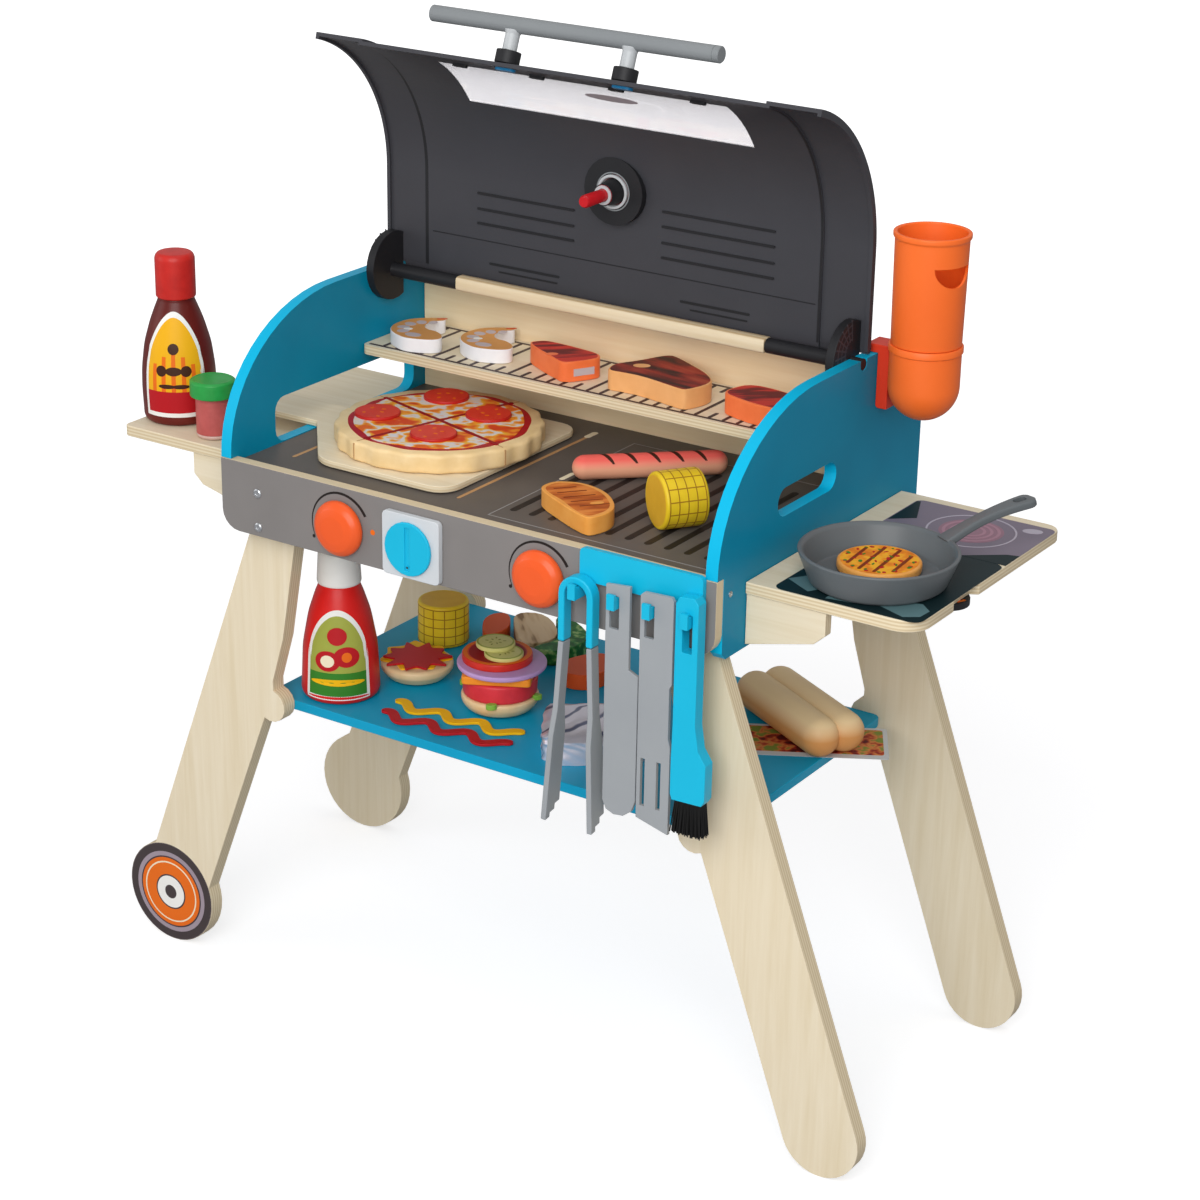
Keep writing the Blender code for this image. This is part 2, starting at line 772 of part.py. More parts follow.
cut_depths = (-LID_STEP, LID_STEP * 4)
window_cut = prism("window_cut", None, "YZ", *WINDOW_X, bent_strip(cut_depths, WINDOW_TURN, 8))
slack = math.degrees(GAP / LID_BEND_RADIUS) * 1.2
pane_turns = (WINDOW_TURN[0] + slack, WINDOW_TURN[1] - slack)
pane_depths = (LID_STEP + GAP, LID_STEP + WINDOW_WALL)
window = plate(
    "lid_window",
    WINDOW_PLASTIC,
    "YZ",
    WINDOW_X[0] + GAP,
    WINDOW_X[1] - GAP,
    bent_strip(pane_depths, pane_turns, 8),
)
gauge_y, gauge_z = lid_point(GAUGE_TURN, LID_STEP + LID_WALL)
gauge_at = (0, gauge_y, gauge_z)
gauge_lean = TURNS["XZ"]
hole_reach = GAUGE_RING_HEIGHT + GAUGE_RECESS_FLOOR
hole_profile = ((GAUGE_HOLE_RADIUS, hole_reach), (GAUGE_HOLE_RADIUS, -hole_reach))
gauge_cut = turned("gauge_cut", None, solid_profile(hole_profile), gauge_at, 24, gauge_lean)
combine(lid, "DIFFERENCE", window_cut, gauge_cut)

handle_y, handle_z = lid_point(POST_TURN, -HANDLE_STAND_OFF)
handle_bar = axle(
    "lid_handle_bar",
    STEEL_PLASTIC,
    HANDLE_RADIUS,
    (-HANDLE_LENGTH / 2, HANDLE_LENGTH / 2),
    handle_y,
    handle_z,
)
handle_cut = axle(
    "handle_cut",
    None,
    HANDLE_RADIUS + GAP * 1.5,
    (-HANDLE_LENGTH, HANDLE_LENGTH),
    handle_y,
    handle_z,
)
foot_y, foot_z = lid_point(POST_TURN, LID_STEP - GAP)
post_height = math.hypot(handle_y - foot_y, handle_z - foot_z)
post_lean = math.radians(POST_TURN - 90)
post_profile = (
    (POST_RADIUS, post_height),
    (POST_RADIUS, POST_COLLAR_HEIGHT),
    (POST_COLLAR_RADIUS, POST_COLLAR_HEIGHT * 0.9),
    (POST_COLLAR_RADIUS, 0),
)
posts = []
for side, x in (("left", -POST_X), ("right", POST_X)):
    post = turned(
        f"lid_post_{side}",
        LID_PLASTIC,
        solid_profile(post_profile),
        (x, foot_y, foot_z),
        16,
        (post_lean, 0, 0),
    )
    combine(post, "DIFFERENCE", handle_cut)
    posts.append(post)

# The gauge is clamped through the sheet: a band the shape of the sheet is cut from round its neck.
ring_back = -LID_WALL - GAP
dial_back = ring_back - GAUGE_DIAL_THICKNESS
gauge = turned(
    "gauge_housing",
    LID_PLASTIC,
    (
        (0, GAUGE_RECESS_FLOOR),
        (GAUGE_RECESS_RADIUS, GAUGE_RECESS_FLOOR),
        (GAUGE_RECESS_RADIUS, GAUGE_RING_HEIGHT),
        (GAUGE_RING_RADIUS, GAUGE_RING_HEIGHT),
        (GAUGE_RING_RADIUS, ring_back / 2),
        (GAUGE_DIAL_RADIUS, ring_back / 2),
        (GAUGE_DIAL_RADIUS, dial_back),
        (0, dial_back),
    ),
    gauge_at,
    24,
    gauge_lean,
)
band_depths = (LID_STEP - GAP, LID_STEP + LID_WALL + GAP)
band_half = GAUGE_DIAL_RADIUS * 1.5
band = prism("sheet_band", None, "YZ", -band_half, band_half, bent_strip(band_depths, (-1, 36), 12))
neck_radius = GAUGE_HOLE_RADIUS - GAP * 1.5
neck_profile = ((neck_radius, hole_reach), (neck_radius, -hole_reach))
neck = turned("gauge_neck", None, solid_profile(neck_profile), gauge_at, 24, gauge_lean)
combine(band, "DIFFERENCE", neck)
combine(gauge, "DIFFERENCE", band)
spindle_profile = (
    (SPINDLE_TIP_RADIUS, SPINDLE_TIP_TOP),
    (SPINDLE_TIP_RADIUS, SPINDLE_HUB_TOP),
    (SPINDLE_HUB_RADII[1], SPINDLE_HUB_TOP),
    (SPINDLE_HUB_RADII[0], SPINDLE_CUP_TOP),
    (SPINDLE_CUP_RADIUS, SPINDLE_CUP_TOP),
    (SPINDLE_CUP_RADIUS, GAUGE_RECESS_FLOOR + GAP),
)
spindle = turned(
    "gauge_spindle", RED, solid_profile(spindle_profile), gauge_at, 20, gauge_lean
)

ears = []
ear_centre = (HINGE_Y, HINGE_Z + EAR_RISE)
ear_reach = LID_BACK_Y - LID_WALL - GAP - HINGE_Y
ear_turn = math.degrees(math.acos(ear_reach / EAR_RADIUS))
ear_outline = arc(ear_centre, EAR_RADIUS, ear_turn, 360 - ear_turn, 16)
ear_inner = between[1] - EAR_THICKNESS
bar_half = BODY_HALF_WIDTH - HINGE_BAR_INSET
for side, sign in (("left", -1), ("right", 1)):

    def span(near, far):
        return tuple(sorted((sign * near, sign * far)))

    low, high = span(ear_inner, between[1])
    ear = prism(f"lid_ear_{side}", LID_PLASTIC, "YZ", low, high, ear_outline)
    sleeve = axle(
        f"sleeve_{side}",
        None,
        SLEEVE_RADIUS,
        span(bar_half + GAP, between[1] - EAR_THICKNESS / 2),
        HINGE_Y,
        HINGE_Z,
    )
    pin = axle(
        f"pin_{side}",
        None,
        HINGE_PIN_RADIUS,
        span(between[1] - EAR_THICKNESS / 2, BODY_HALF_WIDTH),
        HINGE_Y,
        HINGE_Z,
    )
    combine(ear, "UNION", sleeve, pin)
    ears.append(ear)

half = HINGE_BAR_SIDE / 2
hinge_bar = plate(
    "hinge_bar",
    PLY,
    "YZ",
    -bar_half,
    bar_half,
    rectangle(
        (HINGE_Y - half, HINGE_Y + half), (HINGE_Z - half, HINGE_Z + half), HINGE_BAR_CORNER, 2
    ),
)
on_pivot(
    "lid_pivot",
    (0, HINGE_Y, HINGE_Z),
    [lid, window, handle_bar, *posts, gauge, spindle, *ears, hinge_bar],
)

# The side tables, each on a bracket, and the little dial under the right one.
inner_x = BODY_HALF_WIDTH + GAP
table_reach = BODY_HALF_WIDTH + TABLE_LENGTH
table_notch = [(table_reach - cut, y) for cut, y in TABLE_NOTCH]
table_front, table_back = TABLE_Y
table_bottom = TABLE_TOP - TABLE_THICKNESS
front = TABLE_FRONT_CORNER
back = TABLE_BACK_CORNER
tip = TABLE_TIP_CORNER
right_outline = [
    (inner_x, table_front),
    *arc((table_reach - front, table_front + front), front, -90, 0, 6),
    *table_notch,
    *arc((table_reach - back, table_back - back), back, 0, 90, 4),
    (inner_x, table_back),
]
left_outline = mirrored(
    [
        (inner_x, table_front),
        *arc((table_reach - tip, table_front + tip), tip, -90, 0, 3),
        *arc((table_reach - back, table_back - back), back, 0, 90, 4),
        (inner_x, table_back),
    ]
)
plate("right_table", PLY, "XY", table_bottom, TABLE_TOP, right_outline)
plate("left_table", PLY, "XY", table_bottom, TABLE_TOP, left_outline)
bracket_top = table_bottom - GAP
bracket_low = [(BODY_HALF_WIDTH + out, z) for z, out in BRACKET_OUTLINE]
bracket_outline = [*bracket_low, (bracket_low[-1][0], bracket_top), (inner_x, bracket_top)]
plate("right_bracket", PLY, "XZ", *BRACKET_Y, bracket_outline)
plate("left_bracket", PLY, "XZ", *BRACKET_Y, mirrored(bracket_outline))
dial_top = table_bottom - GAP
hob_profile = ((HOB_DIAL_RADIUS, HOB_DIAL_THICKNESS / 2), (HOB_DIAL_RADIUS, -HOB_DIAL_THICKNESS / 2))
turned(
    "hob_dial",
    LID_PLASTIC,
    solid_profile(hob_profile),
    (table_reach - HOB_DIAL_INSET, HOB_DIAL_Y, dial_top - HOB_DIAL_THICKNESS / 2),
)

# Four splayed legs, drawn outwards from the side panel's face. The left two end in a round, painted as a wheel, and the right two in a plain foot.
lug = arc((LUG_X, LUG_Z), LUG_RADIUS, -62, -258, 9)


def outward(outline):
    return [(BODY_HALF_WIDTH + out, z) for out, z in outline]


plain_leg = [
    *LEG_OUTER,
    *arc((FOOT_X, FOOT_RADIUS), FOOT_RADIUS, FOOT_TURN[0], FOOT_TURN[1], 18),
    LEG_INNER_FOOT,
    *lug,
    *LEG_INNER,
]
wheel_leg = [
    *LEG_OUTER,
    *arc((WHEEL_X, WHEEL_RADIUS), WHEEL_RADIUS, WHEEL_TURN[0], WHEEL_TURN[1], 27),
    LEG_INNER_FOOT,
    *lug,
    *LEG_INNER,
]
for name, low in (("front", FRONT_LEG_Y), ("rear", REAR_LEG_Y)):
    high = low + LEG_THICKNESS
    plate(f"{name}_right_leg", PLY, "XZ", low, high, outward(plain_leg))
    plate(f"{name}_left_leg", PLY, "XZ", low, high, mirrored(outward(wheel_leg)))
shelf_half = BODY_HALF_WIDTH - SHELF_INSET
shelf_y = (FRONT_LEG_Y + LEG_THICKNESS + GAP, REAR_LEG_Y - GAP)
plate(
    "lower_shelf",
    TEAL,
    "XY",
    SHELF_TOP - SHELF_THICKNESS,
    SHELF_TOP,
    rectangle((-shelf_half, shelf_half), shelf_y, SHELF_CORNER, 3),
)

# Controls on the fascia.
for side, (x, z) in (("left", LEFT_KNOB), ("right", RIGHT_KNOB)):
    turned(
        f"oven_knob_{side}", ORANGE, solid_profile(KNOB_PROFILE), (x, 0, z), 24, TURNS["XZ"]
    )
plate_face = -GAP - DIAL_PLATE_THICKNESS
plate(
    "dial_plate",
    WHITE,
    "XZ",
    plate_face,
    -GAP,
    rectangle(DIAL_PLATE_X, DIAL_PLATE_Z, DIAL_PLATE_CORNER, 2),
)
dial_profile = (
    (DIAL_RADIUS - GAP, DIAL_THICKNESS),
    (DIAL_RADIUS, DIAL_THICKNESS * 0.7),
    (DIAL_RADIUS, GAP),
)
dial = turned(
    "dial",
    CYAN,
    solid_profile(dial_profile),
    (DIAL[0], plate_face, DIAL[1]),
    24,
    TURNS["XZ"],
)
dial_face = plate_face - DIAL_THICKNESS
dial_slot = prism(
    "dial_slot",
    None,
    "XZ",
    dial_face - DIAL_SLOT_DEPTH,
    dial_face + DIAL_SLOT_DEPTH,
    rectangle(
        (DIAL[0] - DIAL_SLOT_HALF_WIDTH, DIAL[0] + DIAL_SLOT_HALF_WIDTH),
        (DIAL[1] - DIAL_SLOT_HALF_LENGTH, DIAL[1] + DIAL_SLOT_HALF_LENGTH),
    ),
)
combine(dial, "DIFFERENCE", dial_slot)

# The smoker: a round-bottomed holder hooked on the right panel, and the tall cup that stands in it.
smoker_at = (BODY_HALF_WIDTH + SMOKER_OUT, SMOKER_Y, 0)
smoker_base = turned("smoker_base", ORANGE, SMOKER_BASE_PROFILE, smoker_at, 28)
flange_y = (SMOKER_Y - SMOKER_FLANGE_HALF_WIDTH, SMOKER_Y + SMOKER_FLANGE_HALF_WIDTH)
flange_x = BODY_HALF_WIDTH + SMOKER_FLANGE_OUT
flange = box("smoker_flange", None, (inner_x, flange_x), flange_y, SMOKER_FLANGE_Z)
hook_z = (PANEL_TOP + GAP, SMOKER_FLANGE_Z[1])
hook_x = (BODY_HALF_WIDTH - SMOKER_HOOK_IN, flange_x - GAP)
hook = box("smoker_hook", None, hook_x, flange_y, hook_z)
combine(smoker_base, "UNION", flange, hook)
smoker_cup = turned("smoker_cup", ORANGE, SMOKER_CUP_PROFILE, smoker_at, 28)
scoop_radius = SCOOP_Z[1] - SCOOP_Z[0]
scoop_outline = [
    (across / scoop_radius * SCOOP_HALF_WIDTH, up)
    for across, up in arc((0, SCOOP_Z[1]), scoop_radius, 180, 360, 10)
]
scoop = prism("scoop_cut", None, "XZ", -SCOOP_REACH[1], -SCOOP_REACH[0], scoop_outline)
scoop_turn = Matrix.Rotation(math.radians(SCOOP_TURN), 4, "Z")
scoop_middle = Vector((0, -(SCOOP_REACH[0] + SCOOP_REACH[1]) / 2, 0))
scoop.location = Vector(smoker_at) + scoop_turn @ scoop_middle
scoop.rotation_euler = (math.pi / 2, 0, math.radians(SCOOP_TURN))
combine(smoker_cup, "DIFFERENCE", scoop)

# The hanger, the stem and hook of each tool under it, and the tools.
hanger = prism(
    "utensil_hanger",
    CYAN,
    "XZ",
    -GAP - HANGER_THICKNESS,
    -GAP,
    rectangle(HANGER_X, HANGER_Z, HANGER_CORNER, 2),
)
for i, x in enumerate(HOOK_X):
    profile = [
        (-GAP * 2, HOOK_Z[0]),
        (-GAP * 2, HOOK_STEM_TOP),
        (-HANGER_THICKNESS, HOOK_STEM_TOP),
        (-HANGER_THICKNESS, HOOK_Z[1]),
        (HOOK_LIP_Y[1], HOOK_Z[1]),
        (HOOK_LIP_Y[1], HOOK_LIP_TOP),
        (HOOK_LIP_Y[0], HOOK_LIP_TOP),
        (HOOK_LIP_Y[0], HOOK_Z[0]),
    ]
    arm = prism(f"hook_{i}", None, "YZ", x - HOOK_HALF_WIDTH, x + HOOK_HALF_WIDTH, profile)
    combine(hanger, "UNION", arm)


def eye(x, zs):
    return rectangle((x - EYE_HALF_WIDTH, x + EYE_HALF_WIDTH), zs, EYE_HALF_WIDTH / 6, 2)


plate("knife", STEEL_PLASTIC, "XZ", *BLADE_Y, KNIFE_OUTLINE, [eye(HOOK_X[1], BLADE_EYE_Z)])
slots = [rectangle(xs, SPATULA_SLOT_Z) for xs in SPATULA_SLOTS]
plate("spatula", STEEL_PLASTIC, "XZ", *BLADE_Y, SPATULA_OUTLINE, [eye(HOOK_X[2], BLADE_EYE_Z), *slots])
plate("brush_handle", CYAN, "XZ", *BRUSH_Y, BRUSH_OUTLINE, [eye(HOOK_X[3], BRUSH_EYE_Z)])

shape = bmesh.new()
many_x, many_y = BRISTLE_COUNTS
pitch_x = (BRISTLE_X[1] - BRISTLE_X[0]) / many_x
pitch_y = (BRISTLE_Y[1] - BRISTLE_Y[0]) / many_y
root_z = BRISTLE_TOP - BRISTLE_BACKING
middle_x = sum(BRISTLE_X) / 2
middle_y = sum(BRISTLE_Y) / 2
grid = {}
for i in range(many_x + 1):
    for j in range(many_y + 1):
        place = (BRISTLE_X[0] + i * pitch_x, BRISTLE_Y[0] + j * pitch_y, root_z)
        grid[i, j] = shape.verts.new(place)
top = {}
for i, j in ((0, 0), (many_x, 0), (many_x, many_y), (0, many_y)):
    top[i, j] = shape.verts.new((grid[i, j].co.x, grid[i, j].co.y, BRISTLE_TOP))
for i in range(many_x):
    for j in range(many_y):
        ring = [grid[i, j], grid[i, j + 1], grid[i + 1, j + 1], grid[i + 1, j]]
        centre = sum((corner.co for corner in ring), Vector()) / 4
        length = BRISTLE_LENGTH * (0.93 + 0.07 * math.sin(5 * i + 11 * j))
        out = Vector((centre.x - middle_x, centre.y - middle_y, 0)) * BRISTLE_SPREAD_SHARE
        levels = ((0, BRISTLE_HALF_SHARE, 0), (1, BRISTLE_HALF_SHARE * BRISTLE_TIP_SHARE, length))
        for along, share, drop in levels:
            inner = []
            for vert in ring if along == 0 else root_ring:
                away = Vector((vert.co.x - centre.x, vert.co.y - centre.y, 0))
                sign_x = math.copysign(pitch_x * share, away.x)
                sign_y = math.copysign(pitch_y * share, away.y)
                place = centre + out * along + Vector((sign_x, sign_y, -drop))
                inner.append(shape.verts.new(place))
            outer = ring if along == 0 else root_ring
            for k in range(4):
                m = (k + 1) % 4
                shape.faces.new((outer[k], outer[m], inner[m], inner[k]))
            root_ring = inner
        shape.faces.new(root_ring)
edges = (
    [grid[i, 0] for i in range(many_x + 1)] + [top[many_x, 0], top[0, 0]],
    [grid[many_x, j] for j in range(many_y + 1)] + [top[many_x, many_y], top[many_x, 0]],
    [grid[i, many_y] for i in range(many_x, -1, -1)] + [top[0, many_y], top[many_x, many_y]],
    [grid[0, j] for j in range(many_y, -1, -1)] + [top[0, 0], top[0, many_y]],
)
for loop in edges:
    shape.faces.new(loop)
shape.faces.new([top[0, 0], top[many_x, 0], top[many_x, many_y], top[0, many_y]])
bmesh.ops.recalc_face_normals(shape, faces=shape.faces)
bristle_mesh = bpy.data.meshes.new("brush_bristles")
shape.to_mesh(bristle_mesh)
shape.free()
placed("brush_bristles", bristle_mesh, BLACK)

yoke_outline = [
    *arc((YOKE_X, YOKE_ARCH_Z), YOKE_OUTER_RADIUS, 0, 180, 12),
    (YOKE_X - YOKE_OUTER_RADIUS, YOKE_FOOT_Z),
    (YOKE_X - YOKE_INNER_RADIUS, YOKE_FOOT_Z),
    *arc((YOKE_X, YOKE_ARCH_Z), YOKE_INNER_RADIUS, 180, 0, 10),
    (YOKE_X + YOKE_INNER_RADIUS, YOKE_FOOT_Z),
    (YOKE_X + YOKE_OUTER_RADIUS, YOKE_FOOT_Z),
]
plate("tongs_yoke", CYAN, "XZ", *BRUSH_Y, yoke_outline)
arm_x = (YOKE_OUTER_RADIUS + YOKE_INNER_RADIUS) / 2
for side, sign, tilt in (("left", -1, LEFT_ARM_TILT_SHARE), ("right", 1, RIGHT_ARM_TILT_SHARE)):
    half = ARM_THICKNESS / 2
    arm = plate(f"tongs_arm_{side}", STEEL_PLASTIC, "YZ", -half, half, ARM_OUTLINE)
    arm.location = (YOKE_X + sign * arm_x, 0, YOKE_FOOT_Z - ARM_TOP_GAP)
    arm.rotation_mode = "QUATERNION"
    lie = Matrix.Rotation(math.pi / 2, 3, "Z") @ Matrix.Rotation(math.pi / 2, 3, "X")
    arm.rotation_quaternion = (Matrix.Rotation(tilt, 3, "Y") @ lie).to_quaternion()

# The frying pan with its patty.
pan_x, pan_y = BODY_HALF_WIDTH + PAN_OUT, PAN_Y
pan = turned("frying_pan", GREY, PAN_PROFILE, (pan_x, pan_y, 0), 32)
neck_half, waist_half, end_half = PAN_HANDLE_HALF_WIDTHS
length = PAN_HANDLE_LENGTH
handle_outline = [
    (0, -neck_half),
    (length * 0.3, -waist_half),
    *arc((length - end_half, 0), end_half, -90, 90, 6),
    (length * 0.3, waist_half),
    (0, neck_half),
]
handle = prism("pan_handle", None, "XY", -PAN_HANDLE_THICKNESS / 2, PAN_HANDLE_THICKNESS / 2, handle_outline)
hole_half, start_before_end, stop_before_end = PAN_HANDLE_HOLE
hole = prism(
    "pan_handle_hole",
    None,
    "XY",
    -PAN_HANDLE_THICKNESS,
    PAN_HANDLE_THICKNESS,
    rectangle(
        (length - start_before_end, length - stop_before_end),
        (-hole_half, hole_half),
        hole_half * 0.9,
        3,
    ),
)
swing = Matrix.Rotation(math.radians(PAN_HANDLE_TURN), 4, "Z")
rise = Matrix.Rotation(math.radians(-PAN_HANDLE_RISE), 4, "Y")
start = Vector((pan_x, pan_y, PAN_HANDLE_Z)) + swing @ Vector((PAN_HANDLE_START, 0, 0))
for piece in (handle, hole):
    piece.matrix_world = Matrix.Translation(start) @ swing @ rise
combine(pan, "UNION", handle)
combine(pan, "DIFFERENCE", hole)


def rounded_disc(radius, height, edge):
    return (
        (radius - edge, height),
        (radius, height - edge),
        (radius, edge),
        (radius - edge, 0),
    )


patty_z = PAN_PROFILE[0][1] + GAP
patty = rounded_disc(PATTY_RADIUS, PATTY_THICKNESS, CORN_EDGE)
patty_at = (pan_x + PATTY_OFFSET[0], pan_y + PATTY_OFFSET[1], patty_z)
turned("veggie_patty", FOOD, solid_profile(patty), patty_at)

# The pizza on its peel, whose handle passes out through the left panel.
peel_right = PEEL_RIGHT - inner_half
peel_left = PEEL_SHOULDER - inner_half
near, far = PEEL_CORNERS
sweep = PEEL_SHOULDER_SWEEP
grip = PEEL_HANDLE_HALF_WIDTH
grip_round = grip * 0.6
grip_end = grip_round - BODY_HALF_WIDTH - PEEL_HANDLE_OUT
upper_half = [
    *arc((peel_right - near, PEEL_HALF_WIDTH - near), near, 0, 90, 5),
    *arc((peel_left, PEEL_HALF_WIDTH - far), far, 90, 90 + sweep, 4),
    (PEEL_TAPER_END - inner_half, grip),
    *arc((grip_end, grip - grip_round), grip_round, 90, 180, 4),
]
lower_half = [(x, -y) for x, y in reversed(upper_half)]
peel_outline = [(x, PEEL_Y + y) for x, y in upper_half + lower_half]
peel_top = PEEL_BOTTOM + PEEL_THICKNESS
plate("pizza_peel", PLY, "XY", PEEL_BOTTOM, peel_top, peel_outline)
rim = []
for i in range(SCALLOPS * 3):
    turn = 2 * math.pi * i / (SCALLOPS * 3)
    reach = PIZZA_RADIUS + PIZZA_SCALLOP * math.cos(SCALLOPS * turn)
    pizza_x = PIZZA_CENTRE[0] - inner_half
    rim.append((pizza_x + reach * math.cos(turn), PIZZA_CENTRE[1] + reach * math.sin(turn)))
pizza_bottom = peel_top + GAP
plate("pizza", CRUST, "XY", pizza_bottom, pizza_bottom + PIZZA_THICKNESS, rim)

# Food on the cooktop.
cook_z = COOKTOP_TOP + GAP


def spread(place):
    """A place given as a share of the body's half width, and its depth."""
    share, y = place
    return share * BODY_HALF_WIDTH, y


def capsule(radius, length, count=4):
    """The profile of a round-ended roll, standing on its lower end."""
    top_end = arc((0, length - radius), radius, 90, 0, count)
    low_end = arc((0, radius), radius, 0, -90, count)
    return ((0, length), *top_end[1:], *low_end[:-1], (0, 0))


def lying(centre, z, turn, length):
    """The place and turn that lay a roll down about its middle."""
    along = Vector((math.cos(math.radians(turn)), math.sin(math.radians(turn)), 0))
    place = Vector((*centre, z)) - along * length / 2
    return place, (0, math.pi / 2, math.radians(turn))


# The sausage lies in the room between the pizza's rim and the right panel.
room_start = pizza_x + PIZZA_RADIUS + PIZZA_SCALLOP
room_share, sausage_y = SAUSAGE_PLACE
sausage_centre = (room_start + room_share * (inner_half - room_start), sausage_y)
place, turn = lying(sausage_centre, cook_z + SAUSAGE_RADIUS, SAUSAGE_TURN, SAUSAGE_LENGTH)
turned("sausage", FOOD, capsule(SAUSAGE_RADIUS, SAUSAGE_LENGTH, 3), place, 12, turn)
place, turn = lying(spread(GRILL_CORN_CENTRE), cook_z + CORN_RADIUS, GRILL_CORN_TURN, CORN_LENGTH)
grill_corn = rounded_disc(CORN_RADIUS, CORN_LENGTH, CORN_EDGE)
turned("corn_on_grill", YELLOW, solid_profile(grill_corn), place, 20, turn)


def slab(name, paint, centre, z, thickness, outline):
    middle_x, middle_y = spread(centre)
    shifted = [(middle_x + x, middle_y + y) for x, y in outline]
    plate(name, paint, "XY", z, z + thickness, shifted)


slab("chicken_steak", FOOD, CHICKEN_CENTRE, cook_z, CHICKEN_THICKNESS, CHICKEN_OUTLINE)

# Food on the rack.
rack_z = RACK_TOP + GAP
slab("shrimp_left", WHITE, LEFT_SHRIMP_CENTRE, rack_z, SHRIMP_THICKNESS, SHRIMP_OUTLINE)
slab("shrimp_right", WHITE, RIGHT_SHRIMP_CENTRE, rack_z, SHRIMP_THICKNESS, SHRIMP_OUTLINE)
slab("salmon_left", FOOD, LEFT_SALMON_CENTRE, rack_z, SALMON_THICKNESS, LEFT_SALMON_OUTLINE)
slab("salmon_right", FOOD, RIGHT_SALMON_CENTRE, rack_z, SALMON_THICKNESS, RIGHT_SALMON_OUTLINE)
slab("t_bone_steak", FOOD, STEAK_CENTRE, rack_z, STEAK_THICKNESS, STEAK_OUTLINE)

# Bottles on the left table, and what stands on the lower shelf.
table_z = TABLE_TOP + GAP
shelf_z = SHELF_TOP + GAP
sauce_at = (-BODY_HALF_WIDTH - SAUCE_CENTRE[0], SAUCE_CENTRE[1], table_z)
shaker_at = (-BODY_HALF_WIDTH - SHAKER_CENTRE[0], SHAKER_CENTRE[1], table_z)
turned("sauce_bottle", SAUCE, solid_profile(SAUCE_PROFILE), sauce_at)
turned("spice_shaker", GREEN, solid_profile(SHAKER_PROFILE), shaker_at, 20)
turned("ketchup_bottle", RED, solid_profile(KETCHUP_PROFILE), (*KETCHUP_CENTRE, shelf_z))
shelf_corn = rounded_disc(CORN_RADIUS, SHELF_CORN_HEIGHT, CORN_EDGE)
turned("corn_on_shelf", YELLOW, solid_profile(shelf_corn), (*SHELF_CORN_CENTRE, shelf_z), 20)
turned("open_bun", CRUST, solid_profile(BUN_PROFILE), (*BUN_CENTRE, shelf_z), 20)
turned("burger", CRUST, solid_profile(BURGER_PROFILE), (*BURGER_CENTRE, shelf_z))
across_loaf = Vector(
    (-math.sin(math.radians(LOAF_TURN)), math.cos(math.radians(LOAF_TURN)), 0)
)
halves = []
for name, paint, sign in (("hot_dog_bun", CRUST, -1), ("loaf_half", None, 1)):
    place, turn = lying(LOAF_CENTRE, shelf_z + LOAF_RADIUS, LOAF_TURN, LOAF_LENGTH)
    place = place + across_loaf * sign * LOAF_HALF_SPLIT
    halves.append(turned(name, paint, capsule(LOAF_RADIUS, LOAF_LENGTH, 4), place, 16, turn))
combine(halves[0], "UNION", halves[1])

foil_x, foil_y, foil_z = FOIL_HALF_SIZES
foil_outline = rectangle((-foil_x, foil_x), (-foil_y, foil_y))
foil = prism("foil_packet", FOIL, "XY", shelf_z, shelf_z + 2 * foil_z, foil_outline)
foil.location.x, foil.location.y = FOIL_CENTRE
foil.rotation_euler.z = math.radians(FOIL_TURN)
bevel = foil.modifiers.new("Soften", "BEVEL")
bevel.width = foil_z * 0.7
bevel.segments = 2

# The object's own origin is the middle of its box, on the floor.
bpy.context.view_layer.update()
graph = bpy.context.evaluated_depsgraph_get()
corners = []
for obj in grill.objects:
    if obj.type != "EMPTY":
        shown = obj.evaluated_get(graph)
        corners += [shown.matrix_world @ vert.co for vert in shown.to_mesh().vertices]
        shown.to_mesh_clear()
lows = [min(corner[k] for corner in corners) for k in range(3)]
highs = [max(corner[k] for corner in corners) for k in range(3)]
shift = Vector(((lows[0] + highs[0]) / 2, (lows[1] + highs[1]) / 2, lows[2]))
for obj in [*grill.objects, *cutters.objects]:
    if obj.parent is None:
        obj.location -= shift
print("shift", *[round(value, 6) for value in shift])
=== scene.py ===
import json
from math import atan2, cos, degrees, hypot, pi, radians, sin, sqrt

import bmesh
import bpy
from mathutils import Matrix, Vector

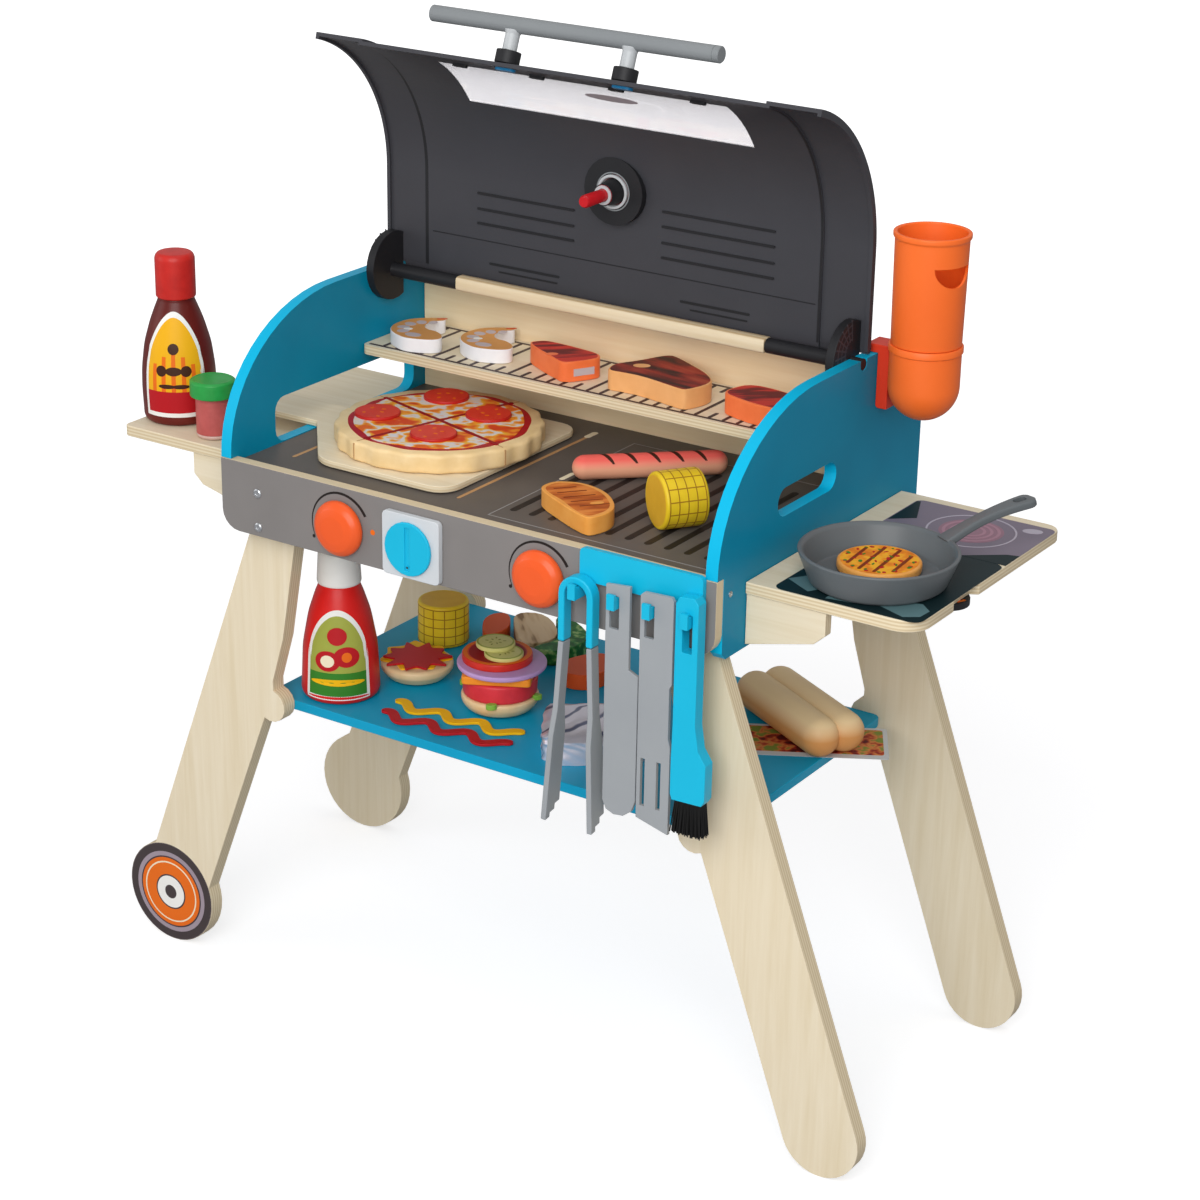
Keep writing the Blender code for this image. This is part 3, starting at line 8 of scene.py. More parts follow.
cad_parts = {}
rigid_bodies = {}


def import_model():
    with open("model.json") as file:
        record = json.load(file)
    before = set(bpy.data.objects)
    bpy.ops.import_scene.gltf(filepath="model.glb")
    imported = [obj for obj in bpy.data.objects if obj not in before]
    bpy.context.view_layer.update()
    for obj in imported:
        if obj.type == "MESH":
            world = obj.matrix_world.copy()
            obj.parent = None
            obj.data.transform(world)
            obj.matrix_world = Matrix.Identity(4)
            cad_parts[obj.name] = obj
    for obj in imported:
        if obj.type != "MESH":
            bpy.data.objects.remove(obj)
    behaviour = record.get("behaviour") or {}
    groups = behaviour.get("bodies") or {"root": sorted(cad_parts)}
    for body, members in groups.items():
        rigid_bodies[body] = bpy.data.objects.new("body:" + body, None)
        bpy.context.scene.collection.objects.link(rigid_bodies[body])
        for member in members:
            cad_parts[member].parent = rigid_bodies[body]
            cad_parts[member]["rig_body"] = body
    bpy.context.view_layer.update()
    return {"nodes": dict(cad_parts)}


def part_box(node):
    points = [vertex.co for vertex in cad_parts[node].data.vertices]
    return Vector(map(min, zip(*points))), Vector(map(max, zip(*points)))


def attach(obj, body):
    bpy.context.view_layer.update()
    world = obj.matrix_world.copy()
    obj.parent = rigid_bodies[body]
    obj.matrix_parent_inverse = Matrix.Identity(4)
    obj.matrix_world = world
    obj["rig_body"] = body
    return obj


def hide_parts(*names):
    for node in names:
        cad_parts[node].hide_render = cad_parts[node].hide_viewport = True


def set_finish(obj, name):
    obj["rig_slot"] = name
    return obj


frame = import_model()
nodes = frame["nodes"]
print("frame loaded,", len(nodes), "nodes")

mm = 0.001
# pieces are drawn in mm from the middle of the control board's front face, with z from the floor
boardLow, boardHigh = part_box("front_fascia")
drawingZero = Vector(((boardLow.x + boardHigh.x) / 2, boardLow.y, 0))
grillTop, tableTop, rackTop, shelfTop = 509.8, 500.3, 571.3, 280.3  # where loose pieces lie
filmMm = 0.12


def inFrame(x, y, z):
    return Vector((x, y, z)) * mm + drawingZero


# nodes and finishes

def linear(code):
    values = [int(code[i : i + 2], 16) / 255 for i in (1, 3, 5)]
    return (*[v / 12.92 if v <= 0.04045 else ((v + 0.055) / 1.055) ** 2.4 for v in values], 1)


def addNode(tree, kind, settings=None, inputs=None):
    # an input takes a value, a socket, or a node that stands for its first output
    node = tree.nodes.new(kind)
    for name, value in (settings or {}).items():
        if name != "stops":
            setattr(node, name, value)
            continue
        marks = node.color_ramp.elements
        while len(marks) < len(value):
            marks.new(1.0)
        for mark, (place, code) in zip(marks, value):
            mark.position = place
            mark.color = linear(code)
    for name, value in (inputs or {}).items():
        if isinstance(value, bpy.types.Node):
            value = value.outputs[0]
        if isinstance(value, bpy.types.NodeSocket):
            tree.links.new(value, node.inputs[name])
        else:
            node.inputs[name].default_value = value
    return node


def startMaterial(name, code, roughness, ior=1.46, coat=0.0):
    material = bpy.data.materials.new(name)
    material.use_nodes = True
    tree = material.node_tree
    shader = tree.nodes["Principled BSDF"]
    for socket, value in (("Base Color", linear(code)), ("Roughness", roughness), ("IOR", ior),
                          ("Specular IOR Level", 0.3), ("Coat Weight", coat), ("Coat Roughness", 0.25)):
        shader.inputs[socket].default_value = value
    return material, tree, shader, addNode(tree, "ShaderNodeTexCoord").outputs


def addRelief(tree, shader, height, strength, depth):
    relief = addNode(tree, "ShaderNodeBump", None,
                     {"Strength": strength, "Distance": depth * mm, "Height": height})
    tree.links.new(relief.outputs["Normal"], shader.inputs["Normal"])


def addPores(tree, shader, place, size, strength, depth, detail=3.0):
    pores = addNode(tree, "ShaderNodeTexNoise", None, {"Scale": 1000 / size, "Detail": detail, "Vector": place})
    addRelief(tree, shader, pores, strength, depth)


def mottled(tree, shader, place, code, darker, size, share=0.5):
    # soft uneven tone, size in mm
    noise = addNode(tree, "ShaderNodeTexNoise", None,
                    {"Scale": 1000 / size, "Detail": 4.0, "Roughness": 0.55, "Vector": place})
    tone = addNode(tree, "ShaderNodeValToRGB",
                   {"stops": ((0.5 - share / 2, darker), (0.5 + share / 2, code))}, {"Fac": noise})
    tree.links.new(tone.outputs["Color"], shader.inputs["Base Color"])


def splitByFacing(tree, shader, coords, across, edge, face):
    # the edge tone on sawn edges, the face tone where the surface looks along the board's thickness
    looks = addNode(tree, "ShaderNodeSeparateXYZ", None, {"Vector": coords["Normal"]}).outputs[across]
    size = addNode(tree, "ShaderNodeMath", {"operation": "ABSOLUTE"}, {0: looks})
    isFace = addNode(tree, "ShaderNodeMath", {"operation": "GREATER_THAN"}, {0: size, 1: 0.6})
    pick = addNode(tree, "ShaderNodeMix", {"data_type": "RGBA"}, {"Factor": isFace, 6: edge, 7: face})
    tree.links.new(pick.outputs[2], shader.inputs["Base Color"])


# moulded ABS and polypropylene: even colour, a fine satin texture that breaks the highlight
def mouldedPlastic(name, code, darker, roughness=0.42, grain=0.8, depth=0.03):
    material, tree, shader, coords = startMaterial(name, code, roughness, 1.5)
    mottled(tree, shader, coords["Object"], code, darker, 60, 0.9)
    addPores(tree, shader, coords["Object"], grain, 0.35, depth, 2.0)
    return material


# acrylic paint sprayed on sanded birch: the wood's pores still show faintly through the film
def paintedWood(name, code, darker, roughness=0.45):
    material, tree, shader, coords = startMaterial(name, code, roughness, 1.35)
    mottled(tree, shader, coords["Object"], code, darker, 90, 0.8)
    lie = addNode(tree, "ShaderNodeMapping", None, {"Scale": (0.06, 1, 1), "Vector": coords["Object"]})
    addPores(tree, shader, lie, 1.6, 0.25, 0.05)
    return material


# bare birch plywood, clear lacquered: pale rotary-cut faces, and striped plies where it is cut through
def birchPly(name, across, along, face="#EADDC3", faceDark="#E0D0B0", plyMm=1.5,
             plyLight="#E6D7B8", plyDark="#D5C09B"):
    material, tree, shader, coords = startMaterial(name, face, 0.5, 1.47, 0.1)
    stretch = [1.0, 1.0, 1.0]
    stretch[along] = 0.05
    lie = addNode(tree, "ShaderNodeMapping", None, {"Scale": stretch, "Vector": coords["Object"]})
    figure = addNode(tree, "ShaderNodeTexNoise", None,
                     {"Scale": 1000 / 9, "Detail": 6.0, "Roughness": 0.62, "Distortion": 0.4, "Vector": lie})
    flat = addNode(tree, "ShaderNodeValToRGB", {"stops": ((0.3, faceDark), (0.68, face))}, {"Fac": figure})
    depth = addNode(tree, "ShaderNodeSeparateXYZ", None, {"Vector": coords["Object"]}).outputs[across]
    plies = addNode(tree, "ShaderNodeMath", {"operation": "MULTIPLY"}, {0: depth, 1: 1000 / plyMm})
    layer = addNode(tree, "ShaderNodeMath", {"operation": "PINGPONG"}, {0: plies, 1: 1.0})
    edge = addNode(tree, "ShaderNodeValToRGB", {"stops": ((0.35, plyDark), (0.62, plyLight))}, {"Fac": layer})
    splitByFacing(tree, shader, coords, across, edge, flat)
    addRelief(tree, shader, figure, 0.3, 0.12)
    return material


# a board painted on its faces only, so its sawn edge shows pale plies; the teal side panels take a bright cyan edge
# tone instead, as painted light
def paintedBoard(name, across, code, darker, edgeCode="#D9C7A6", roughness=0.42):
    material, tree, shader, coords = startMaterial(name, code, roughness, 1.35)
    noise = addNode(tree, "ShaderNodeTexNoise", None,
                    {"Scale": 1000 / 80, "Detail": 3.0, "Vector": coords["Object"]})
    tone = addNode(tree, "ShaderNodeValToRGB", {"stops": ((0.3, darker), (0.7, code))}, {"Fac": noise})
    splitByFacing(tree, shader, coords, across, linear(edgeCode), tone)
    addPores(tree, shader, coords["Object"], 1.5, 0.2, 0.04, 2.0)
    return material


# play food is turned and sawn beech, painted, and lacquered to a soft gloss
def paintedFood(name, code, darker, size):
    material, tree, shader, coords = startMaterial(name, code, 0.42, 1.47, 0.12)
    mottled(tree, shader, coords["Object"], code, darker, size)
    addPores(tree, shader, coords["Object"], 1.8, 0.3, 0.06)
    return material


def faded(name, high, low):
    # one tone where the surface faces up, another where it faces down
    material, tree, shader, coords = startMaterial(name, high, 0.42, 1.35)
    upward = addNode(tree, "ShaderNodeSeparateXYZ", None, {"Vector": coords["Normal"]}).outputs["Z"]
    tone = addNode(tree, "ShaderNodeValToRGB", {"stops": ((0.05, low), (0.75, high))}, {"Fac": upward})
    tree.links.new(tone.outputs["Color"], shader.inputs["Base Color"])
    addPores(tree, shader, coords["Object"], 1.8, 0.3, 0.06)
    return material


def printed(name, stops, size, turn=0.0, stretch=1.0, detail=2.0):
    # a printed pattern of a few tones, drawn out along one direction
    material, tree, shader, coords = startMaterial(name, stops[0][1], 0.45, 1.35)
    lie = addNode(tree, "ShaderNodeMapping", {"vector_type": "TEXTURE"},
                  {"Rotation": (0, 0, radians(turn)), "Scale": (stretch, 1, 1), "Vector": coords["Object"]})
    noise = addNode(tree, "ShaderNodeTexNoise", None, {"Scale": 1000 / size, "Detail": detail, "Vector": lie})
    tone = addNode(tree, "ShaderNodeValToRGB", {"stops": stops}, {"Fac": noise})
    tree.links.new(tone.outputs["Color"], shader.inputs["Base Color"])
    return material


# outlines, as lists of points in mm

def polar(radius, turn, centre=(0, 0)):
    return centre[0] + radius * cos(radians(turn)), centre[1] + radius * sin(radians(turn))


def arcPoints(centre, radius, start, end, count):
    return [polar(radius, start + (end - start) * i / count, centre) for i in range(count + 1)]


def circle(centre, radius, count=64):
    return arcPoints(centre, radius, 0, 360, count)[:-1]


def ellipse(centre, half, turn=0, count=48):
    c, s = polar(1, turn)
    ring = [(half[0] * x, half[1] * y) for x, y in circle((0, 0), 1, count)]
    return [(centre[0] + x * c - y * s, centre[1] + x * s + y * c) for x, y in ring]


def roundRect(across, up, corner, count=6):
    (left, right), (low, high) = across, up
    corners = ((right - corner, low + corner, -90), (right - corner, high - corner, 0),
               (left + corner, high - corner, 90), (left + corner, low + corner, 180))
    return [p for x, y, start in corners for p in arcPoints((x, y), corner, start, start + 90, count)]


def ringStrips(centre, radius, width, count=48):
    # a ring as two half bands
    return [arcPoints(centre, radius + width / 2, start, start + 180, count)
            + arcPoints(centre, radius - width / 2, start + 180, start, count) for start in (0, 180)]


def strip(a, b, width):
    # a round-ended bar from a to b
    turn = degrees(atan2(b[1] - a[1], b[0] - a[0]))
    return arcPoints(b, width / 2, turn - 90, turn + 90, 8) + arcPoints(a, width / 2, turn + 90, turn + 270, 8)


def softened(profile, radius, count=4, closed=False):
    # rounds each corner of a line of points
    total = len(profile)
    result = []
    for i, corner in enumerate(profile):
        here = Vector(corner)
        before = Vector(profile[i - 1]) - here
        after = Vector(profile[(i + 1) % total]) - here
        reach = min(radius, before.length * 0.48, after.length * 0.48)
        if reach < 1e-6 or not closed and i in (0, total - 1):
            result.append(tuple(corner))
            continue
        start, end = here + before.normalized() * reach, here + after.normalized() * reach
        for k in range(count + 1):
            t = k / count
            result.append(tuple(start * (1 - t) ** 2 + here * 2 * t * (1 - t) + end * t * t))
    return result


def smoothLoop(points, rounds=2):
    for _ in range(rounds):
        pairs = [(points[i], points[(i + 1) % len(points)]) for i in range(len(points))]
        points = [tuple(share * a + (1 - share) * b for a, b in zip(*pair))
                  for pair in pairs for share in (0.75, 0.25)]
    return points


def roundedDisc(radius, low, high, edge):
    return softened([(0, low), (radius, low), (radius, high), (0, high)], edge, 5)


# meshes, drawn in mm

planes = {"XY": lambda a, b, level: (a, b, level), "XZ": lambda a, b, level: (a, level, b),
          "YZ": lambda a, b, level: (level, a, b)}
upright = Matrix.Identity(3)
toFront = Matrix.Rotation(pi / 2, 3, "X")  # a lathe's axis towards the front
toRight = Matrix.Rotation(pi / 2, 3, "Y")


def placed(x, y, z, turn=0.0):
    return Matrix.Translation((x, y, z)) @ Matrix.Rotation(radians(turn), 4, "Z")


def layDown(turn):
    return Matrix.Rotation(radians(turn), 3, "Z") @ toRight


def skin(shape, rows, ends=True):
    # faces between rings of corners, where a ring of one corner is a tip
    for near, far in zip(rows, rows[1:]):
        count = max(len(near), len(far))
        for i in range(count if count > 1 else 0):
            j = (i + 1) % count
            corners = (near[i % len(near)], near[j % len(near)], far[j % len(far)], far[i % len(far)])
            shape.faces.new(tuple(dict.fromkeys(corners)))
    if ends:
        shape.faces.new(rows[0])
        shape.faces.new(rows[-1])


def addPrism(shape, plane, low, high, loop):
    rows = [[shape.verts.new(planes[plane](*p, level)) for p in loop] for level in (low, high)]
    for row in rows:
        shape.faces.new(row)
    skin(shape, rows, False)


def addLathe(shape, profile, centre, turn=upright, steps=96):
    # profile in radius and height from one end of the axis to the other
    skin(shape, [[shape.verts.new(turn @ Vector((*p, height)) + Vector(centre))
                  for p in circle((0, 0), radius, steps if radius > 1e-6 else 1)]
                 for radius, height in profile], False)


def newObject(name, shape):
    mesh = bpy.data.meshes.new(name)
    shape.to_mesh(mesh)
    shape.free()
    obj = bpy.data.objects.new(name, mesh)
    bpy.context.scene.collection.objects.link(obj)
    return obj


def rawObject(name, shape, merge=1e-4):
    bmesh.ops.remove_doubles(shape, verts=shape.verts, dist=merge)
    bmesh.ops.recalc_face_normals(shape, faces=shape.faces)
    shape.transform(Matrix.Translation(drawingZero) @ Matrix.Scale(mm, 4))
    return newObject(name, shape)


def addBevel(obj, width, limit=32, segments=3):
    bevel = obj.modifiers.new("edges", "BEVEL")
    bevel.width = width * mm
    bevel.segments = segments
    bevel.limit_method = "ANGLE"
    bevel.angle_limit = radians(limit)
    bevel.harden_normals = True


def finish(obj, body, paint, slot="food_wood", node=None, sharp=35):
    if paint is not None:
        obj.data.materials.clear()
        obj.data.materials.append(paint)
    obj.data.shade_smooth()
    obj.data.set_sharp_from_angle(angle=radians(sharp))
    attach(obj, body)
    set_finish(obj, slot)
    if node:
        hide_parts(node)
    return obj


def makePiece(name, shape, body, paint, slot="food_wood", node=None, bevel=0.0, sharp=35, merge=1e-4):
    obj = rawObject(name, shape, merge)
    if bevel:
        addBevel(obj, bevel)
    return finish(obj, body, paint, slot, node, sharp)


def prismPiece(name, body, paint, slot, plane, levels, loops, node=None, bevel=0.0, sharp=35, move=None,
               merge=1e-4):
    shape = bmesh.new()
    for loop in loops:
        addPrism(shape, plane, *levels, loop)
    if move is not None:
        shape.transform(move)
    return makePiece(name, shape, body, paint, slot, node, bevel, sharp, merge)


def inlays(name, body, paint, slot, plane, level, loops, thick=filmMm):
    # printed or painted shapes as a film that stands on a face
    return prismPiece(name, body, paint, slot, plane, (level, level + thick), loops, merge=1e-5)


def topFilm(name, body, paint, level, loops, thick=0.14):
    return inlays(name, body, paint, "food_wood", "XY", level, loops, thick)


def lathePiece(name, profile, centre, body, paint, slot="food_wood", node=None, turn=upright, steps=96):
    shape = bmesh.new()
    addLathe(shape, profile, centre, turn, steps)
    return makePiece(name, shape, body, paint, slot, node)


def refined(name, node, paint, slot, bevel=0.8, limit=32):
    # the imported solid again, its loose triangles joined and its edges eased
    shape = bmesh.new()
    shape.from_mesh(nodes[node].data)
    bmesh.ops.remove_doubles(shape, verts=shape.verts, dist=1e-6)
    bmesh.ops.dissolve_limit(shape, angle_limit=radians(0.6), verts=shape.verts, edges=shape.edges)
    obj = newObject(name, shape)
    addBevel(obj, bevel, limit)
    return finish(obj, nodes[node]["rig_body"], paint, slot, node, 40)


def takeShape(obj):
    # the mesh takes the shape that its modifiers give
    bpy.context.view_layer.update()
    mesh = bpy.data.meshes.new_from_object(obj.evaluated_get(bpy.context.evaluated_depsgraph_get()))
    obj.modifiers.clear()
    obj.data = mesh


def cutFrom(obj, cutters, operation="DIFFERENCE"):
    for cutter in cutters:
        step = obj.modifiers.new("cut", "BOOLEAN")
        step.operation = operation
        step.solver = "EXACT"
        step.object = cutter
    takeShape(obj)
    for cutter in cutters:
        bpy.data.objects.remove(cutter, do_unlink=True)


# Geometry Nodes trees for what repeats
def startTree(name, sockets):
    tree = bpy.data.node_groups.new(name, "GeometryNodeTree")
    tree.interface.new_socket("Geometry", in_out="OUTPUT", socket_type="NodeSocketGeometry")
    for socket, kind in sockets:
        tree.interface.new_socket(socket, in_out="INPUT", socket_type="NodeSocket" + kind)
    return tree, addNode(tree, "NodeGroupInput").outputs


def endTree(tree, copies, material):
    real = addNode(tree, "GeometryNodeRealizeInstances", None, {"Geometry": copies})
    painted = addNode(tree, "GeometryNodeSetMaterial", None, {"Geometry": real, "Material": material})
    addNode(tree, "NodeGroupOutput", None, {"Geometry": painted})
    return tree


# this tree lays a row of round-ended bars: slots, grate bars, louvres, ribs and ticks
def barRowTree():
    tree, given = startTree("barRow", (("Count", "Int"), ("Step", "Vector"), ("Length", "Float"), ("Width", "Float"),
                                       ("Thickness", "Float"), ("Corner", "Float"), ("Material", "Material")))
    points = addNode(tree, "GeometryNodeMeshLine", {"mode": "OFFSET"},
                     {"Count": given["Count"], "Offset": given["Step"]})
    outline = addNode(tree, "GeometryNodeCurvePrimitiveQuadrilateral", None,
                      {"Width": given["Length"], "Height": given["Width"]})
    eased = addNode(tree, "GeometryNodeFilletCurve", {"mode": "POLY"},
                    {"Count": 4, "Curve": outline, "Radius": given["Corner"]})
    filled = addNode(tree, "GeometryNodeFillCurve", {"mode": "NGONS"}, {"Curve": eased})
    raised = addNode(tree, "GeometryNodeExtrudeMesh", {"mode": "FACES"},
                     {"Individual": False, "Mesh": filled, "Offset Scale": given["Thickness"]})
    under = addNode(tree, "GeometryNodeFlipFaces", None, {"Mesh": filled})
    both = addNode(tree, "GeometryNodeJoinGeometry")
    for half in (raised, under):
        tree.links.new(half.outputs["Mesh"], both.inputs["Geometry"])
    shut = addNode(tree, "GeometryNodeMergeByDistance", None, {"Distance": 1e-6, "Geometry": both})
    copies = addNode(tree, "GeometryNodeInstanceOnPoints", None, {"Points": points, "Instance": shut})
    return endTree(tree, copies, given["Material"])


def bakedObject(name, tree, values):
    obj = bpy.data.objects.new(name, bpy.data.meshes.new(name + "Seed"))
    bpy.context.scene.collection.objects.link(obj)
    modifier = obj.modifiers.new("build", "NODES")
    modifier.node_group = tree
    for socket in tree.interface.items_tree:
        if socket.name in values:
            modifier[socket.identifier] = values[socket.name]
    takeShape(obj)
    return obj


barTree = barRowTree()


def barRow(name, body, paint, slot, start, facing, length, width, thick=0.15, count=1, pitch=0.0):
    # start is the first bar's middle, and facing a rotation from lying face up
    values = {"Count": count, "Step": [pitch * mm, 0.0, 0.0], "Length": length * mm, "Width": width * mm,
              "Thickness": thick * mm, "Corner": min(length, width) / 2 * 0.98 * mm, "Material": paint}
    obj = bakedObject(name, barTree, values)
    obj.data.transform(Matrix.Translation(inFrame(*start)) @ facing.to_4x4())
    return finish(obj, body, None, slot)


# finishes of the whole toy

# teal side panels: the teal is their own colour, but the faces are painted a darker teal as painted shade and the edges
# a bright cyan as painted light
tealPaint = paintedBoard("acrylicTealOnBirch", 0, "#018AAE", "#0182A5", "#06B2DC", 0.4)
shelfPaint = paintedWood("acrylicTealShelf", "#0DA3CC", "#0A98C0", 0.4)
boardPaint = paintedBoard("acrylicGreyOnPly", 1, "#868280", "#7F7B79")
cooktopPaint = paintedBoard("acrylicCharcoalOnPly", 2, "#655E59", "#5C5651", "#D8C8AA")
plyFlat = birchPly("birchPlyLyingBoard", 2, 0)
plyUpright = birchPly("birchPlyUprightBoard", 1, 0)
plyLeg = birchPly("birchPlyLeg", 1, 2)
# the back board's face is painted a paler, warmer birch than the other boards: painted light on it under the raised lid
plyBack = birchPly("birchBack", 1, 0, "#FBE6C2", "#F3D9AE")
plyRod = birchPly("birchRod", 1, 0, "#E9D9BC", "#DCC6A0", 3.2, "#E3CFAB", "#CBB088")
lidPlastic = mouldedPlastic("absCharcoalMoulded", "#404045", "#3A3A3F", 0.48, 1.2, 0.04)
lidDark = mouldedPlastic("absBlackMoulded", "#232326", "#1D1D20", 0.5)
gaugeRing = mouldedPlastic("absSilverGrey", "#C6C8CA", "#B5B7BA", 0.28)
handlePlastic = mouldedPlastic("absSteelGrey", "#8A8E90", "#7F8386", 0.35)
postPlastic = mouldedPlastic("absPaleGrey", "#C4C7C9", "#B3B7BA", 0.28)
toolPlastic = mouldedPlastic("absToolGrey", "#A0A4A7", "#969A9E", 0.4)
knobPaint = mouldedPlastic("glossOrangeOnBeech", "#F2602A", "#E85823", 0.3, 2.0, 0.02)
smokerPlastic = mouldedPlastic("ppOrangeMoulded", "#FC752E", "#F56B26", 0.42)
redPlastic = mouldedPlastic("absSignalRed", "#D8222A", "#B81820", 0.25)
# the hook over the panel is coloured a deeper red-orange than the cup and holder
hookPlastic = mouldedPlastic("ppRedHook", "#DE3D22", "#CC3219", 0.42)
cyanPlastic = mouldedPlastic("absCyanMoulded", "#0FBBE0", "#0CB0D4", 0.4)
bluePad = mouldedPlastic("absBluePad", "#1C7FB4", "#156FA0", 0.4)
platePlastic = mouldedPlastic("absWhiteGrey", "#D3D7DA", "#C8CCD0", 0.4)
panPlastic = mouldedPlastic("absPanGrey", "#666B6E", "#5D6265", 0.38, 1.0, 0.03)
bristleNylon = mouldedPlastic("nylonBlackBristle", "#161616", "#0C0C0C", 0.45)
screwSteel, tree, shader, coords = startMaterial("zincPlatedSteel", "#C9CBCE", 0.3)
shader.inputs["Metallic"].default_value = 1.0
mottled(tree, shader, coords["Object"], "#D2D4D7", "#B4B7BB", 4)
# polycarbonate pane, milky from its matt inside, so it reads almost white against the light
paneMaterial, tree, shader, coords = startMaterial("polycarbonatePane", "#EDECEE", 0.08, 1.58)
shader.inputs["Transmission Weight"].default_value = 0.92
mottled(tree, shader, coords["Object"], "#EFEDEF", "#E6E4E8", 120)

inkTones = {
    "Black": ("#2A2523", "#231F1D"), "Brown": ("#4A2A1C", "#3A2016"), "Cream": ("#F4E9CE", "#EBDDBB"),
    "White": ("#F5F4F0", "#E9E7E2"), "Grey": ("#9A9795", "#908D8B"), "Orange": ("#EE7420", "#E36614"),
    "Amber": ("#F2B51D", "#E9A915"), "Red": ("#C01E26", "#AE171F"), "DarkRed": ("#A3141C", "#8C0F16"),
    "Sear": ("#8A3A16", "#74300F"), "Yellow": ("#F5BE14", "#EBB00E"), "TailRed": ("#DD5A28", "#D04E1E"),
    "Green": ("#3F8A2E", "#2F7424"), "PaleGreen": ("#A8AE4E", "#989F42"), "Seed": ("#9A9440", "#8A8436"),
    "Tan": ("#DC9C58", "#CF8F4A"), "Ochre": ("#A97A22", "#9A6D1B"), "LilacGrey": ("#C7BABD", "#BCAFB3"),
    "TealDark": ("#12282C", "#0D2024"), "TealGrey": ("#5F7F84", "#547377"), "Glass": ("#857B89", "#776E7C"),
    "Pink": ("#B08796", "#A47B8A"), "Rose": ("#9C7786", "#8F6D7C"), "Pale": ("#BDB6C2", "#AFA8B5"),
    "Wood": ("#C79A6A", "#B4875A"), "Mauve": ("#A79DA2", "#9A9096"), "Umber": ("#4A3A3A", "#3F3030")}
ink = {name: paintedWood("ink" + name, *tones) for name, tones in inkTones.items()}
print("finishes made,", len(bpy.data.materials), "materials")

# body
for name, node, paint, slot, edge in (
        ("leftsidepanelEased", "left_side_panel", tealPaint, "side_panel_teal", 1.0),
        ("rightsidepanelEased", "right_side_panel", tealPaint, "side_panel_teal", 1.0),
        ("controlBoard", "front_fascia", boardPaint, "fascia_grey", 0.8),
        ("rearBoard", "back_panel", plyBack, "bare_ply", 0.6),
        ("grillBoard", "cooktop", cooktopPaint, "cooktop_print", 0.4),
        ("rackBoard", "warming_rack", plyFlat, "rack_print", 0.8),
        ("leftTableBoard", "left_table", plyFlat, "bare_ply", 0.9),
        ("rightTableBoard", "right_table", plyFlat, "table_print", 0.9),
        ("leftBracketBlock", "left_bracket", plyUpright, "bare_ply", 0.8),
        ("rightBracketBlock", "right_bracket", plyUpright, "bare_ply", 0.8),
        ("shelfBoard", "lower_shelf", shelfPaint, "shelf_teal", 0.9),
        ("frontLeftLeg", "front_left_leg", plyLeg, "bare_ply", 1.6),
        ("frontRightLeg", "front_right_leg", plyLeg, "bare_ply", 1.6),
        ("rearLeftLeg", "rear_left_leg", plyLeg, "bare_ply", 1.6),
        ("rearRightLeg", "rear_right_leg", plyLeg, "bare_ply", 1.6),
        ("hingeRod", "hinge_bar", plyRod, "bare_ply", 1.0)):
    refined(name, node, paint, slot, edge)
print("body boards made")


def boardPrint(name, tone, slot, level, loops):
    inlays(name, "stand", ink[tone], slot, "XY", level, loops)


# prints on the grill board: a burner grate on the right, a plain griddle on the left
grill = {"top": 509.5, "slots": 11, "pitch": 18.8, "firstX": 24, "slotWidth": 6.5, "frontY": 46, "slotLength": 178,
         "line": 1.1, "frame": (13, 233, 27, 250), "grooves": (-206, -30), "grooveY": (46, 244)}
barRow("grateSlots", "stand", ink["Black"], "cooktop_print",
       (grill["firstX"], grill["frontY"] + grill["slotLength"] / 2, grill["top"]), upright,
       grill["slotWidth"], grill["slotLength"], count=grill["slots"], pitch=grill["pitch"])
left, right, near, far = grill["frame"]
line = grill["line"]
boardPrint("grateOutline", "Grey", "cooktop_print", grill["top"], [roundRect(*sides, 0.4) for sides in (
    ((left, right), (near, near + line)), ((left, right), (far - line, far)),
    ((left, left + line), (near + line, far - line)), ((right - line, right), (near + line, far - line)))])
near, far = grill["grooveY"]
boardPrint("griddleGrooves", "Wood", "cooktop_print", grill["top"],
           [strip((x, near), (x, far), 3.4) for x in grill["grooves"]])
boardPrint("grooveEnds", "Cream", "cooktop_print", grill["top"] + filmMm,
           [strip((x, far - 4), (x, far + 8), 6) for x in grill["grooves"]] + [strip((14, 135), (14, 151), 5)])

# the rack's printed wire grid
rack = {"top": 571, "rails": (190, 272), "railWidth": 3.4, "bars": 17, "pitch": 27.4, "firstX": -219,
        "barWidth": 3.6, "half": 234}
boardPrint("rackRails", "Umber", "rack_print", rack["top"],
           [roundRect((-rack["half"], rack["half"]), (y - rack["railWidth"] / 2, y + rack["railWidth"] / 2), 0.6)
            for y in rack["rails"]])
for name, x, y, length, count in (("Bars", 0, 231, 79, 0), ("TicksFront", 0.5, 199, 15, 1),
                                  ("TicksRear", 0.5, 263, 15, 1)):
    barRow("rack" + name, "stand", ink["Umber"], "rack_print", (rack["firstX"] + x * rack["pitch"], y, rack["top"]),
           upright, rack["barWidth"], length, count=rack["bars"] - count, pitch=rack["pitch"])
print("grill and rack prints made")

